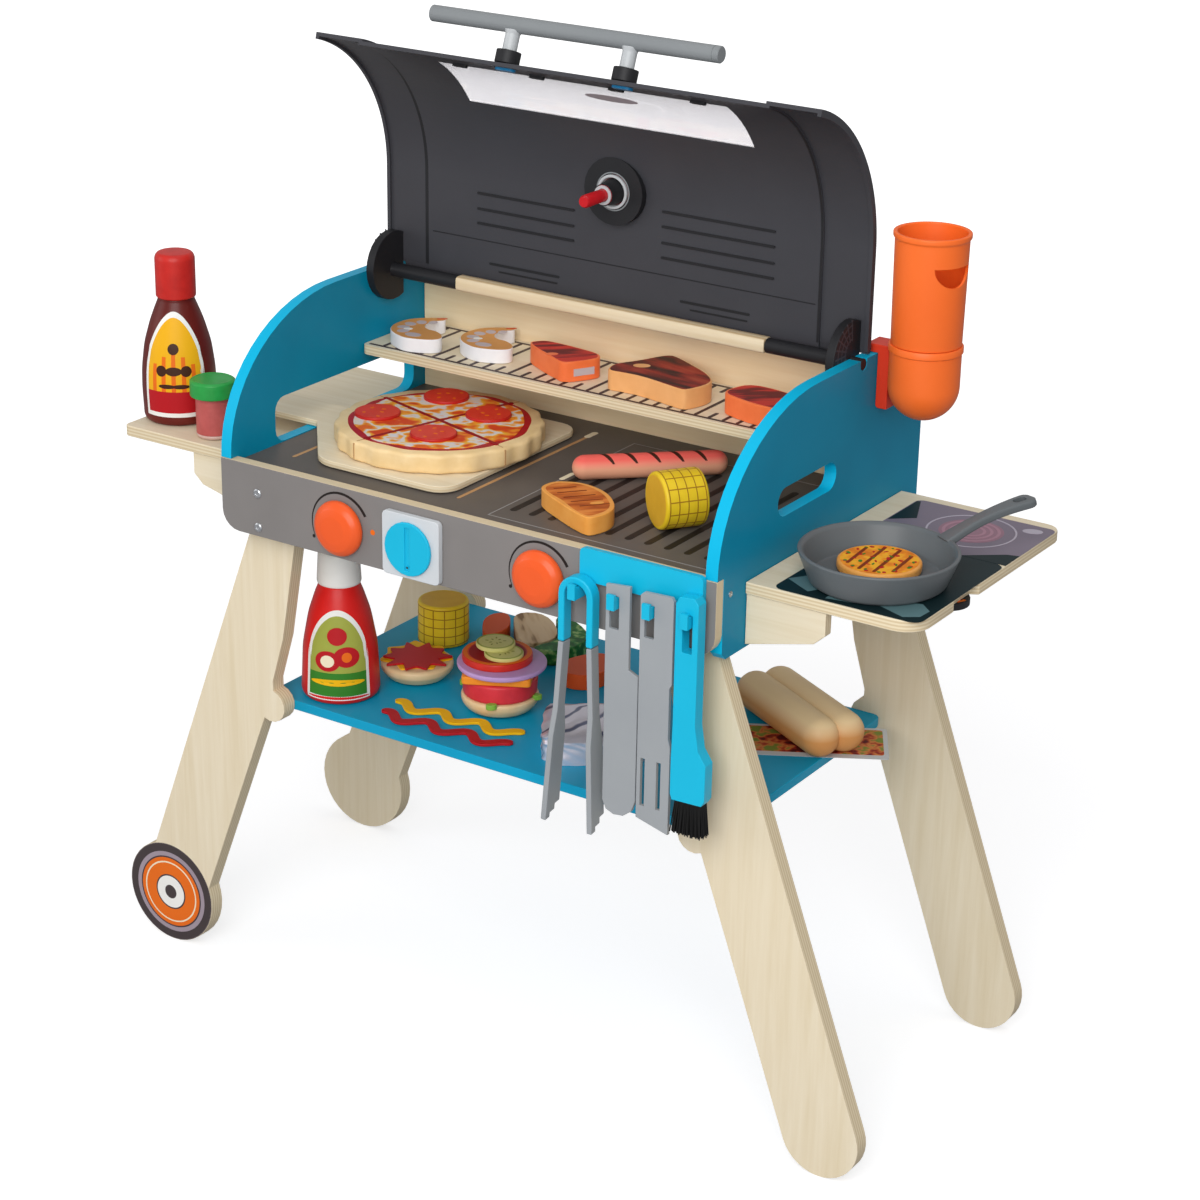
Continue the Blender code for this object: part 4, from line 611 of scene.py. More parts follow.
# the wheel painted on the front of the left leg
wheel = {"centre": (-351, 50), "face": 24, "radius": 49.6, "film": 0.08,
         "tones": {"Grey": ("#6D6466", "#625A5C"), "Black": ("#4B4243", "#433B3C"), "Lilac": ("#A89AA4", "#9A8C97")},
         "rings": ((1.0, "Grey"), (0.985, "Black"), (0.83, "Lilac"), (0.74, "Black"), (0.71, "Orange"),
                   (0.63, "Cream"), (0.60, "Orange"), (0.36, "Black"), (0.33, "White"), (0.14, "Black"))}
wheelInk = {**ink, **{name: paintedWood("wheelInk" + name.lower(), *tones) for name, tones in wheel["tones"].items()}}
for i, (share, name) in enumerate(wheel["rings"]):
    inlays(f"wheelRing{i}", "stand", wheelInk[name], "bare_ply", "XZ", wheel["face"] - wheel["film"] * (i + 1),
           [circle(wheel["centre"], wheel["radius"] * share, 96)], wheel["film"])

# the hob printed on the right table
hob = {"top": 500, "edge": (273, 402), "front": (46, 196), "rear": (196, 294), "rings": (344, 251)}
frontZone = roundRect(hob["edge"], hob["front"], 9)
for name, tone, layer, loops in (
        ("FrontZone", "TealDark", 0, [frontZone[:14] + [(402, 196), (273, 196)] + frontZone[-7:]]),
        ("RearZone", "Glass", 0, [roundRect(hob["edge"], hob["rear"], 7)]),
        ("Grate", "TealGrey", 1, [
            [(274, 70), (286, 88), (306, 66), (300, 55)], [(318, 51), (340, 55), (340, 60), (318, 56)],
            [(360, 62), (366, 78), (386, 84), (397, 74), (396, 60), (385, 52)],
            [(276, 150), (286, 162), (276, 172)]]),
        ("Corner", "TealDark", 1, [[(274, 236), (293, 252), (277, 290), (274, 289)],
                                   [(362, 196), (402, 196), (402, 222), (392, 219)]]),
        ("HeatDisc", "Rose", 1, [circle(hob["rings"], 27)]),
        ("HeatRings", "Pink", 2, [loop for radius in (11, 17, 23) for loop in ringStrips(hob["rings"], radius, 2.6)]),
        ("OuterRing", "Pale", 1, ringStrips(hob["rings"], 37, 1.6)),
        ("TouchMark", "Pale", 1, [ellipse((386, 280), (8.5, 5.5), 20)])):
    boardPrint("hob" + name, tone, "table_print", hob["top"] + layer * filmMm, loops)
print("hob print made")

# lid: the moulded shell again with a finer bend, its louvres, slots and seams as painted shade lines, and the bare pane
lid = {"halfWidth": 247, "wall": 3.5, "seam": 201, "step": 2, "flange": 6, "backY": 241, "footZ": 640,
       "middleFootZ": 628.5, "bendZ": 725, "radius": 138, "bendEnd": 75, "window": (-139, 146),
       "windowTurn": (34.5, 62.0), "gaugeTurn": 6, "gaugeHole": 18}
inner = lid["step"] + lid["wall"]


def lidPoint(turn, depth):
    y, z = polar(lid["radius"] - depth, max(turn, 0), (lid["backY"] - lid["radius"], lid["bendZ"]))
    return y, lid["footZ"] if turn < 0 else z


def lidSection():
    w, d, t = lid["halfWidth"], lid["step"], lid["wall"]
    half = [(lid["seam"] - t, d), (lid["seam"] - t, 0), (w, 0), (w, lid["flange"]), (w - t, lid["flange"]),
            (w - t, t), (lid["seam"], t), (lid["seam"], d + t)]
    return half + [(-x, depth) for x, depth in reversed(half)]


def bentStrip(depths, turns, count):
    angles = [turns[0] + (turns[1] - turns[0]) * i / count for i in range(count + 1)]
    return [lidPoint(t, depths[0]) for t in angles] + [lidPoint(t, depths[1]) for t in reversed(angles)]


def onSheet(turn, depth=inner):
    # the lid's inner face: where it is and which way it looks, for a bar laid on it along x
    inward = Vector((0, *polar(-1, max(turn, 0))))
    side = Vector((1, 0, 0))
    return lidPoint(turn, depth), Matrix((side, inward.cross(side), inward)).transposed()


shape = bmesh.new()
rings = [[shape.verts.new((x, *lidPoint(turn, depth))) for x, depth in lidSection()]
         for turn in [-1.0] + [lid["bendEnd"] * i / 48 for i in range(49)]]
skin(shape, rings, False)
middleFoot = [rings[0][i] for i in (0, 7, 8, 15)]  # the middle reaches down behind the hinge rod
for vert in middleFoot:
    vert.co.z = lid["middleFootZ"]
for foot in (middleFoot, *[[rings[0][first + i] for i in (0, 1, 6, 7)] for first in (0, 8)],
             rings[0][1:7], rings[0][9:15], rings[-1]):
    shape.faces.new(foot)
lidShell = rawObject("lidShellFine", shape)
# black strips along the steps where the end flanges meet the sheet: painted shade in that crease of the one moulding
shape = bmesh.new()
for low, high, under, over in ((-205.5, -201.2, 3.3, 3.9), (198.6, 200.8, 5.3, 5.8)):
    addPrism(shape, "YZ", low, high, bentStrip((under, over), (-1, 74.5), 76))
makePiece("lidSeams", shape, "lid", lidDark, "lid_charcoal")
windowCut, gaugeCut = bmesh.new(), bmesh.new()
addPrism(windowCut, "YZ", *lid["window"], bentStrip((-6, 24), lid["windowTurn"], 20))
gaugeAt = (0, *lidPoint(lid["gaugeTurn"], inner))
addLathe(gaugeCut, [(0, 9), (lid["gaugeHole"], 9), (lid["gaugeHole"], -9), (0, -9)], gaugeAt, toFront, 64)
cutFrom(lidShell, [rawObject("windowCut", windowCut), rawObject("gaugeCut", gaugeCut)])
addBevel(lidShell, 0.7, 40, 2)
finish(lidShell, "lid", lidPlastic, "lid_charcoal", "lid_shell", 40)
shape = bmesh.new()
for low, high, foot in ((-229, -200, 632.5), (200, 229, 632.5), (-246.5, -229, 637.6), (229, 246.5, 637.6)):
    addPrism(shape, "XY", foot, 641, [(low, 238), (high, 238), (high, 240.8), (low, 240.8)])
makePiece("lidFeet", shape, "lid", lidPlastic, "lid_charcoal", None, 0.4)
slack, (start, end) = 0.15, lid["windowTurn"]
prismPiece("lidPane", "lid", paneMaterial, "window_clear", "YZ", (lid["window"][0] + 0.3, lid["window"][1] - 0.3),
           [bentStrip((lid["step"] + 0.3, lid["step"] + 3), (start + slack, end - slack), 24)], "lid_window", 0, 40)


# the louvres, the crease and the vents are thin raised bars in black plastic on the charcoal lid: their darkness is
# painted shade in the moulding's ridges and slots
def lidBar(name, low, high, z, width, lift):
    barRow("lid" + name, "lid", lidDark, "lid_charcoal", ((low + high) / 2, lidPoint(0, inner)[0], z), toFront,
           high - low, width, lift)


for side, low, high, rows in (("Left", -147, -44, (714, 700, 687)), ("Right", 45, 156, (714, 700, 687, 727))):
    for i, z in enumerate(rows):
        lidBar(f"Louvre{side}{i}", low, high, z, 2.2, 0.9)
lidBar("Crease", -196, 196, 672, 0.9, 0.3)
for side, low, high in (("Left", -134, -59), ("Right", 65, 134)):
    lidBar("Vent" + side, low, high, 652, 2.4, 0.4)
    lidBar("VentLow" + side, low + 10, high - 2, 646, 1.6, 0.4)
spot, lie = onSheet(end + 1.6)
barRow("paneTabs", "lid", lidDark, "lid_charcoal", (-112, *spot), lie, 15, 5, 2.2, 4, 78)
spot, lie = onSheet(51.5)
prismPiece("paneOval", "lid", ink["Mauve"], "window_clear", "XY", (0.1, 0.22), [ellipse((0, 0), (26, 5.2), 0, 40)],
           move=Matrix.Translation((24, *spot)) @ lie.to_4x4())
print("lid made")

# handle, posts, gauge
handle = {"out": 31.1, "turn": 69.2, "radius": 7, "half": 141.5, "postX": 57.5, "postRadius": 6.2, "collar": 10.5,
          "collarHigh": 11}
bar = lidPoint(handle["turn"], -handle["out"])
half, r = handle["half"], handle["radius"]
lathePiece("handleTube", [(0, -half), (r * 0.72, -half), (r, -half + 1.2), (r, half - 6), (r * 0.93, half - 5.7),
           (r * 0.93, half - 5.3), (r, half - 5), (r, half - 0.9), (r * 0.9, half), (0, half)],
           (0, *bar), "lid", handlePlastic, "handle_grey", "lid_handle_bar", toRight, 64)
foot = lidPoint(handle["turn"], lid["step"] - 0.3)
high = hypot(bar[0] - foot[0], bar[1] - foot[1])
thin, wide, neck = handle["postRadius"], handle["collar"], handle["collarHigh"]
postTurn = Matrix.Rotation(radians(handle["turn"] - 90), 3, "X")
for side, x in (("left", -handle["postX"]), ("right", handle["postX"])):
    stem = softened([(0, 2), (thin, 2), (thin, high - r - 1), (thin + 1.4, high - 4.6), (0, high - 4)], 0.8)
    collar = softened([(0, 0), (wide, 0), (wide, neck), (thin, neck + 0.4), (0, neck)], 0.9)
    for name, profile, paint, node in (("Stem", stem, postPlastic, None),
                                       ("Collar", collar, lidDark, "lid_post_" + side)):
        lathePiece(f"post{name}{side.title()}", profile, (x, *foot), "lid", paint, "lid_charcoal", node, postTurn, 48)
    spot, lie = onSheet(handle["turn"])
    barRow(f"postPad{side.title()}", "lid", bluePad, "lid_charcoal", (x, *spot), lie, 19, 9, 2.0)


def ringSection(inner, outer, low, high):
    return [(inner, low), (outer, low), (outer, high), (inner, high), (inner, low)]


refined("gaugeBody", "gauge_housing", lidDark, "lid_charcoal", 0.6, 40)
for name, profile, body, paint, slot, node in (
        ("RecessLine", ringSection(15.7, 16.8, 7, 7.3), "lid", handlePlastic, "lid_charcoal", None),
        ("SpindleFine", [(0, 2.3), (14.5, 2.3), (14.5, 6.5), (11, 6.5), (8.6, 20.5), (8.6, 22), (5.5, 22),
                         (5.5, 50.5), (4.3, 52.5), (0, 52.5)],
         "gauge_spindle", redPlastic, "red_tip", "gauge_spindle"),
        ("Cone", [(11.6, 6.6), (11.4, 6.6), (8.9, 20.3), (8.9, 22.3), (9.4, 22.3), (9.3, 20.4), (11.6, 6.6)],
         "gauge_spindle", lidDark, "lid_charcoal", None),
        ("Cup", softened([(11.7, 6.4), (14.8, 6.4), (14.8, 9.2), (12.6, 9.2), (11.7, 6.4)], 0.4),
         "gauge_spindle", gaugeRing, "lid_charcoal", None),
        ("Collar", ringSection(5.8, 8.4, 22.2, 23.4), "gauge_spindle", gaugeRing, "lid_charcoal", None)):
    lathePiece("gauge" + name, profile, gaugeAt, body, paint, slot, node, toFront, 64)

# hinge ears with raised ribs
ears = {"centre": (224, 641), "face": 238.5, "spokes": 11, "hoops": (12, 18, 24), "arc": (95, 265)}
for side, sign in (("left", -1), ("right", 1)):
    refined(f"lidEar{side.title()}", f"lid_ear_{side}", lidDark, "lid_charcoal", 0.7, 40)
    shape = bmesh.new()
    level, (start, end) = sign * ears["face"], ears["arc"]
    for k in range(ears["spokes"]):
        turn = start + (end - start) * k / (ears["spokes"] - 1)
        spoke = strip(polar(11, turn, ears["centre"]), polar(28, turn, ears["centre"]), 1.4)
        addPrism(shape, "YZ", level, level + sign * 0.45, spoke)
    for radius in ears["hoops"]:
        hoop = (arcPoints(ears["centre"], radius + 0.7, start, end, 24)
                + arcPoints(ears["centre"], radius - 0.7, end, start, 24))
        addPrism(shape, "YZ", level, level + sign * 0.4, hoop)
    makePiece(f"earRibs{side.title()}", shape, "lid", lidPlastic, "lid_charcoal")
print("handle, gauge and ears made")

# controls on the board
knobs = {"left": (-119.5, 477), "right": (84.5, 479), "printY": -0.14, "arc": 30.5,
         "dome": [(0, 0.3), (22.8, 0.3), (24.0, 1.0), (24.5, 2.4), (24.3, 5.0), (22.8, 7.4), (19, 10.4), (12, 11.9),
                  (0, 12.2)]}
for side in ("left", "right"):
    x, z = knobs[side]
    lathePiece(f"ovenKnob{side.title()}", softened(knobs["dome"], 1.2), (x, 0, z), f"oven_knob_{side}", knobPaint,
               "knob_orange", f"oven_knob_{side}", toFront)
    band = [(205 - 175 * k / 24, (0.5 + 2.3 * (k / 24) ** 0.8) / 2) for k in range(25)]
    arc = ([polar(knobs["arc"] + half, turn, (x, z)) for turn, half in band]
           + [polar(knobs["arc"] - half, turn, (x, z)) for turn, half in reversed(band)])
    for name, tone, loop in (("Arc", "Black", arc), ("DotOff", "Black", circle((x - 29, z - 14), 1.6, 24)),
                             ("DotOn", "Orange", circle((x + 34, z + 3), 2.4, 24))):
        inlays(f"knob{name}{side.title()}", "stand", ink[tone], "fascia_grey", "XZ", knobs["printY"], [loop])
refined("dialPlate", "dial_plate", platePlastic, "white_plate", 0.8)
refined("dialDisc", "dial", cyanPlastic, "cyan_plastic", 0.5, 40)
inlays("dialPointer", "dial", cyanPlastic, "cyan_plastic", "XZ", -8.9, [circle((-43, 461), 1.6, 20)], 0.9)
inlays("dialMark", "dial", ink["Black"], "cyan_plastic", "XZ", -9.02, [circle((-43, 461), 1.0, 20)])
refined("hobDialDisc", "hob_dial", lidDark, "lid_charcoal", 0.6, 40)
inlays("hobDialMark", "hob_dial", ink["Orange"], "lid_charcoal", "XY", 489.7, [strip((394, 128), (397, 134), 3)], 0.1)
screw = softened([(0, 0), (4.2, 0), (4.2, 0.5), (3.0, 1.3), (1.5, 1.35), (1.2, 0.7), (0, 0.7)], 0.25)
smallScrew = softened([(0, 0), (2.6, 0), (2.6, 0.4), (1.6, 0.9), (0.8, 0.9), (0.6, 0.4), (0, 0.4)], 0.2)
for name, profile, at, slot, turn, steps in (
        ("boardScrew0", screw, (-210, 0, 488), "fascia_grey", toFront, 32),
        ("boardScrew1", screw, (-210, 0, 457), "fascia_grey", toFront, 32),
        ("panelScrew", smallScrew, (250, 21.5, 497), "side_panel_teal", toRight, 24)):
    lathePiece(name, profile, at, "stand", screwSteel, slot, None, turn, steps)
print("controls made")

# smoker
smoker = {"x": 288.5, "y": 258, "bowlZ": 614.7, "out": 29.7, "in": 27.2, "scoopTurn": 70, "scoop": (703, 720),
          "scoopHalf": 18.5}
bowl = (0, smoker["bowlZ"])
holder = (arcPoints(bowl, smoker["out"], -90, 0, 24)
          + [(smoker["out"], 643.5), (30.9, 644.5), (30.9, 649), (30.2, 650), (smoker["in"], 650)]
          + arcPoints(bowl, smoker["in"], 0, -90, 24))
lathePiece("smokerHolder", [(max(radius, 0.0), z) for radius, z in holder], (smoker["x"], smoker["y"], 0), "stand",
           smokerPlastic, "smoker_orange", "smoker_base")
hook = [(250.3, 592), (252, 590), (260.8, 590), (260.8, 644.5), (239.5, 644.5), (239.5, 637.3), (250.3, 637.3)]
prismPiece("smokerHook", "stand", hookPlastic, "smoker_orange", "XZ", (smoker["y"] - 11, smoker["y"] + 11), [hook],
           None, 0.8)
cup, scoop = bmesh.new(), bmesh.new()
addLathe(cup, softened([(0, 638.5), (24.3, 638.5), (24.3, 652), (26.8, 655), (28.5, 743.5), (29.3, 744.2),
                        (32.0, 744), (32.0, 740.2), (30.6, 738.6), (30.5, 736), (29.3, 650.3), (26.8, 650.3),
                        (26.8, 636), (0, 636)], 0.8, 3), (smoker["x"], smoker["y"], 0))
low, high = smoker["scoop"]
addPrism(scoop, "XZ", -46, -16, [(x * smoker["scoopHalf"] / (high - low), z)
                                 for x, z in arcPoints((0, high), high - low, 180, 360, 24)])
scoop.transform(placed(smoker["x"], smoker["y"], 0, smoker["scoopTurn"]))
cup = rawObject("smokerCupFine", cup)
cutFrom(cup, [rawObject("scoopCut", scoop)])
finish(cup, "smoker_cup", smokerPlastic, "smoker_orange", "smoker_cup", 40)

# tools
for name, node, paint, slot, edge, limit in (
        ("toolHanger", "utensil_hanger", cyanPlastic, "cyan_plastic", 0.7, 40),
        ("knifeBlade", "knife", toolPlastic, "utensil_grey", 0.5, 32),
        ("spatulaBlade", "spatula", toolPlastic, "utensil_grey", 0.5, 32),
        ("brushGrip", "brush_handle", cyanPlastic, "cyan_plastic", 1.6, 32),
        ("tongsYokeFine", "tongs_yoke", cyanPlastic, "cyan_plastic", 1.4, 32),
        ("tongsArmLeftFine", "tongs_arm_left", toolPlastic, "utensil_grey", 0.8, 32),
        ("tongsArmRightFine", "tongs_arm_right", toolPlastic, "utensil_grey", 0.8, 32)):
    refined(name, node, paint, slot, edge, limit)


# a second tree sets nylon bristles on a grid, each leaning out a little
def bristleTree():
    tree, given = startTree("bristles", (
        ("Size X", "Float"), ("Size Y", "Float"), ("Rows X", "Int"), ("Rows Y", "Int"), ("Length", "Float"),
        ("Radius", "Float"), ("Spread", "Float"), ("Seed", "Int"), ("Material", "Material")))
    grid = addNode(tree, "GeometryNodeMeshGrid", None,
                   {"Size X": given["Size X"], "Size Y": given["Size Y"], "Vertices X": given["Rows X"],
                    "Vertices Y": given["Rows Y"]})
    hair = addNode(tree, "GeometryNodeMeshCone", None,
                   {"Vertices": 5, "Radius Top": given["Radius"], "Radius Bottom": given["Radius"],
                    "Depth": given["Length"]})
    hung = addNode(tree, "GeometryNodeTransform", None, {"Rotation": (pi, 0, 0), "Geometry": hair})
    place = addNode(tree, "GeometryNodeInputPosition")
    spot = addNode(tree, "ShaderNodeSeparateXYZ", None, {"Vector": place}).outputs
    leanX, leanY = [addNode(tree, "ShaderNodeMath", {"operation": "MULTIPLY"}, {0: spot[axis], 1: given["Spread"]})
                    for axis in "YX"]
    leanBack = addNode(tree, "ShaderNodeMath", {"operation": "MULTIPLY"}, {0: leanY, 1: -1.0})
    lean = addNode(tree, "ShaderNodeCombineXYZ", None, {"X": leanX, "Y": leanBack})
    uneven = addNode(tree, "FunctionNodeRandomValue", {"data_type": "FLOAT_VECTOR"},
                     {0: (-0.035, -0.035, 0.0), 1: (0.035, 0.035, 0.0), "Seed": given["Seed"]})
    turned = addNode(tree, "ShaderNodeVectorMath", {"operation": "ADD"}, {0: lean, 1: uneven})
    tall = addNode(tree, "FunctionNodeRandomValue", {"data_type": "FLOAT"}, {2: 0.93, 3: 1.0, "Seed": given["Seed"]})
    scale = addNode(tree, "ShaderNodeCombineXYZ", None, {"X": 1.0, "Y": 1.0, "Z": tall.outputs[1]})
    copies = addNode(tree, "GeometryNodeInstanceOnPoints", None,
                     {"Points": grid, "Instance": hung, "Rotation": turned, "Scale": scale})
    return endTree(tree, copies, given["Material"])


brush = {"middle": (239.5, -11.2, 328.5), "size": (22.6, 10), "length": 30.5, "radius": 0.55, "rows": (22, 11)}
bristles = bakedObject("bristleTuft", bristleTree(), {
    "Size X": brush["size"][0] * mm, "Size Y": brush["size"][1] * mm, "Rows X": brush["rows"][0],
    "Rows Y": brush["rows"][1], "Length": brush["length"] * mm, "Radius": brush["radius"] * mm,
    "Spread": 9.0, "Seed": 4, "Material": bristleNylon})
bristles.data.transform(Matrix.Translation(inFrame(*brush["middle"])))
finish(bristles, "brush", None, "bristle_black", "brush_bristles")
print("smoker and tools made")

# pan and patty
pan = {"x": 334.2, "y": 106, "handleStart": 60, "handleZ": 523.8, "length": 89.5, "thick": 7,
       "hole": (69.5, 81.5, 3.5), "turn": 60.6, "rise": 15}
dish, grip, hole = bmesh.new(), bmesh.new(), bmesh.new()
addLathe(dish, softened([(0, 504.6), (52, 504.6), (59.5, 525.5), (62.2, 528), (64.7, 527), (63.7, 524.5), (55, 502.5),
                         (52, 500.3), (0, 500.3)], 1.4, 4), (pan["x"], pan["y"], 0), steps=128)
rows = []
for k in range(31):
    t = k / 30
    wide = 8.2 - 1.9 * sin(pi * min(t / 0.8, 1)) if t < 0.8 else 9.5 - 1.3 * (1 - (t - 0.8) / 0.2)
    ending = sqrt(max(0.0, 1 - max(0.0, (t - 0.9) / 0.1) ** 2))
    wide *= max(ending, 0.12)
    high = pan["thick"] / 2 * (0.45 + 0.55 * ending)
    corner = min(2.2, wide * 0.6, high * 0.7)
    rows.append([grip.verts.new((pan["length"] * t, y, 4.2 * sin(pi * t) + z))
                 for y, z in roundRect((-wide, wide), (-high, high), corner, 4)])
skin(grip, rows)
start, stop, half = pan["hole"]
addPrism(hole, "XY", -pan["thick"] - 2, pan["thick"] + 6, strip((start + half, 0), (stop - half, 0), half * 2))
handleAt = (placed(pan["x"], pan["y"], pan["handleZ"], pan["turn"]) @ Matrix.Translation((pan["handleStart"], 0, 0))
            @ Matrix.Rotation(radians(-pan["rise"]), 4, "Y"))
grip.transform(handleAt)
hole.transform(handleAt)
dish = rawObject("panDish", dish)
cutFrom(dish, [rawObject("panGrip", grip)], "UNION")
cutFrom(dish, [rawObject("panHangHole", hole)])
finish(dish, "frying_pan", panPlastic, "pan_grey", "frying_pan", 40)

foodTones = {
    "patty": ("#F0AE5C", "#E6993F"), "crust": ("#F3D6A4", "#E8C78E"), "sauce": ("#B8121F", "#A50D18"),
    "pepper": ("#C4261F", "#B31D18"), "pepperTop": ("#E23C28", "#D63222"), "corn": ("#EBC824", "#E0BA20"),
    "cornEnd": ("#E3B233", "#D9A62C"), "chicken": ("#F3AC55", "#EA9C44"), "shrimp": ("#F6F4F5", "#ECE9EC"),
    "salmonSide": ("#F97E46", "#F0703A"), "steakSide": ("#F2B274", "#E8A566"), "bun": ("#EBCFA4", "#DFBD8A"),
    "tomato": ("#DC3326", "#C2281D"), "onion": ("#C9A4D6", "#BC95CB"), "beef": ("#E23A44", "#D0303A"),
    "cheddar": ("#F9982A", "#F08C1E"), "lettuce": ("#8CC04A", "#6FA637"), "pickle": ("#DAD488", "#CEC878"),
    "ketchup": ("#E4201C", "#D61A18"), "bottleCap": ("#F7F6F2", "#ECEAE4"), "bbq": ("#6E1C14", "#5C150F"),
    "bbqCap": ("#D02A22", "#B9201A"), "shakerLid": ("#2FA54C", "#26933F"), "shakerJar": ("#C7605C", "#B2504C"),
    "shakerFoot": ("#D9B9AE", "#CBA99E")}
food = {name: paintedFood(name + "Paint", *tones, 60 if name in ("ketchup", "bbq", "bottleCap") else 14)
        for name, tones in foodTones.items()}
patty = {"x": 328.2, "y": 119.5, "low": 504.9, "high": 512.9, "radius": 34, "stripes": (-19.5, -6.5, 6.5, 19.5)}
middle = (patty["x"], patty["y"])
lathePiece("vegPatty", roundedDisc(patty["radius"], patty["low"], patty["high"], 2.6), (*middle, 0), "veggie_patty",
           food["patty"], node="veggie_patty")
mash = printed("pattyMash", ((0.36, "#DB7A22"), (0.5, "#EE8F24"), (0.6, "#F4B32E")), 12)
topFilm("pattyFace", "veggie_patty", mash, patty["high"], [circle(middle, 31.5)], 0.1)
stripes = []
for off in patty["stripes"]:
    away, half = Vector(middle) + Vector(polar(off, 185)), sqrt(27 ** 2 - off ** 2)
    stripes.append(strip(polar(-half, 95, away), polar(half, 95, away), 3))
topFilm("pattyGrillMarks", "veggie_patty", ink["Sear"], patty["high"] + 0.1, stripes)


# one tree scatters small printed flecks over a disc, from a fixed seed
def fleckTree():
    tree, given = startTree("flecks", (("Radius", "Float"), ("Spacing", "Float"), ("Fleck", "Float"),
                                       ("Thickness", "Float"), ("Seed", "Int"), ("Material", "Material")))
    disc = addNode(tree, "GeometryNodeMeshCircle", {"fill_type": "NGON"}, {"Vertices": 32, "Radius": given["Radius"]})
    points = addNode(tree, "GeometryNodeDistributePointsOnFaces", {"distribute_method": "POISSON"},
                     {"Mesh": disc, "Density Max": 200000.0, "Distance Min": given["Spacing"],
                      "Seed": given["Seed"]})
    fleck = addNode(tree, "GeometryNodeMeshCylinder", None,
                    {"Vertices": 7, "Radius": given["Fleck"], "Depth": given["Thickness"]})
    sizes, turns = [addNode(tree, "FunctionNodeRandomValue", {"data_type": "FLOAT_VECTOR"},
                            {0: low, 1: high, "Seed": given["Seed"]})
                    for low, high in (((0.5, 0.35, 1.0), (1.5, 0.9, 1.0)), ((0, 0, 0), (0, 0, 6.28)))]
    copies = addNode(tree, "GeometryNodeInstanceOnPoints", None,
                     {"Points": points, "Instance": fleck, "Rotation": turns, "Scale": sizes})
    return endTree(tree, copies, given["Material"])


fleckNodes = fleckTree()
for tone, spacing, size, seed, thick in (("Red", 9.5, 2.1, 3, 0.34), ("Green", 11, 2.0, 8, 0.36)):
    flecks = bakedObject(f"patty{tone}Flecks", fleckNodes, {
        "Radius": 28 * mm, "Spacing": spacing * mm, "Fleck": size * mm, "Thickness": thick * mm, "Seed": seed,
        "Material": ink[tone]})
    flecks.data.transform(Matrix.Translation(inFrame(*middle, patty["high"] + 0.1)))
    finish(flecks, "veggie_patty", None)
print("pan made")

# peel and pizza
refined("pizzaPeelBoard", "pizza_peel", plyFlat, "bare_ply", 1.6)
pizza = {"centre": (-118, 139), "scallops": 20, "low": 516.8, "high": 534.3, "sauce": 80, "cheese": 74.5,
         "levels": ((88.6, 0.72, 516.8), (90.6, 1.08, 518.0), (91.1, 1.2, 520.2), (91.1, 1.2, 531.1),
                    (90.5, 1.08, 533.3), (88.6, 0.72, 534.3)),
         "pepperoni": ((-172.7, 121.1), (-150.8, 193.4), (-91.1, 174.3), (-99.2, 104.3)),
         "spot": 20.5, "spotHigh": 3.2}
centre, low, top = pizza["centre"], pizza["low"], pizza["high"]
crust = bmesh.new()
skin(crust, [[crust.verts.new((*polar(radius + wave * cos(radians(pizza["scallops"] * 360 * i / 260)), 360 * i / 260,
                                      centre), z)) for i in range(260)] for radius, wave, z in pizza["levels"]])
makePiece("pizzaCrust", crust, "pizza", food["crust"], node="pizza", sharp=50)


def wavyDisc(middle, radius, wave, lobes, shift=0.0, points=140):
    ring = []
    for i in range(points):
        a = 2 * pi * i / points
        ring.append(polar(radius + wave * (sin(lobes * a + shift) + 0.5 * sin((lobes + 4) * a + 2 * shift)),
                          degrees(a), middle))
    return ring


melted = printed("pizzaMelt", ((0.36, "#D8481F"), (0.41, "#EE8A2C"), (0.46, "#EFB435"), (0.485, "#E4D6C0"),
                               (0.55, "#D9D5DC"), (0.585, "#F0A83C"), (0.65, "#E26A26")), 17, 20, 1.2, 1.5)
topFilm("pizzaSauce", "pizza", food["sauce"], top, [wavyDisc(centre, pizza["sauce"], 0.8, 9)], filmMm)
topFilm("pizzaCheese", "pizza", melted, top + filmMm, [wavyDisc(centre, pizza["cheese"], 1.4, 7, 1.0)], 0.5)
high, fat = top + pizza["spotHigh"], []
for k, spot in enumerate(pizza["pepperoni"]):
    lathePiece(f"pizzaPepperoni{k}", roundedDisc(pizza["spot"], top, high, 1.2), (*spot, 0), "pizza", food["pepper"],
               steps=64)
    topFilm(f"pizzaPepperoniTop{k}", "pizza", food["pepperTop"], high, [circle(spot, 19.6, 48)], 0.1)
    fat += [ellipse(polar(5 + 2.4 * j, degrees(1.9 * k + 1.35 * j), spot), (2.0, 1.5), 40 * j, 20) for j in range(5)]
topFilm("pizzaPepperoniFat", "pizza", ink["Orange"], high + 0.1, fat)
# knife lines: sauce red across the top, dark down through the crust
cuts = bmesh.new()
for name, turn, thick in (("A", -16.5, 0.66), ("B", 73.5, 0.64)):
    reach = pizza["sauce"] - 0.5
    topFilm("pizzaCut" + name, "pizza", ink["DarkRed"], top,
            [strip(polar(-reach, turn, centre), polar(reach, turn, centre), 4.4)], thick)
    for way in (turn, turn + 180):
        for start, end, under, over in ((80, 88.8, top - 0.3, top + 0.1), (87.4, 92.4, low + 2.4, top - 1.4)):
            addPrism(cuts, "XY", under, over, [polar(side, way + 90, polar(reach, way, centre)) for reach, side in (
                (start, -0.6), (end, -0.6), (end, 0.6), (start, 0.6))])
makePiece("pizzaCrustCuts", cuts, "pizza", ink["Wood"])
print("pizza made")


# food on the grill
def capsule(radius, length, count=12):
    half = length / 2 - radius
    points = arcPoints((0, -half), radius, -90, 0, count) + arcPoints((0, half), radius, 0, 90, count)
    return [(max(r, 0.0), z) for r, z in points]


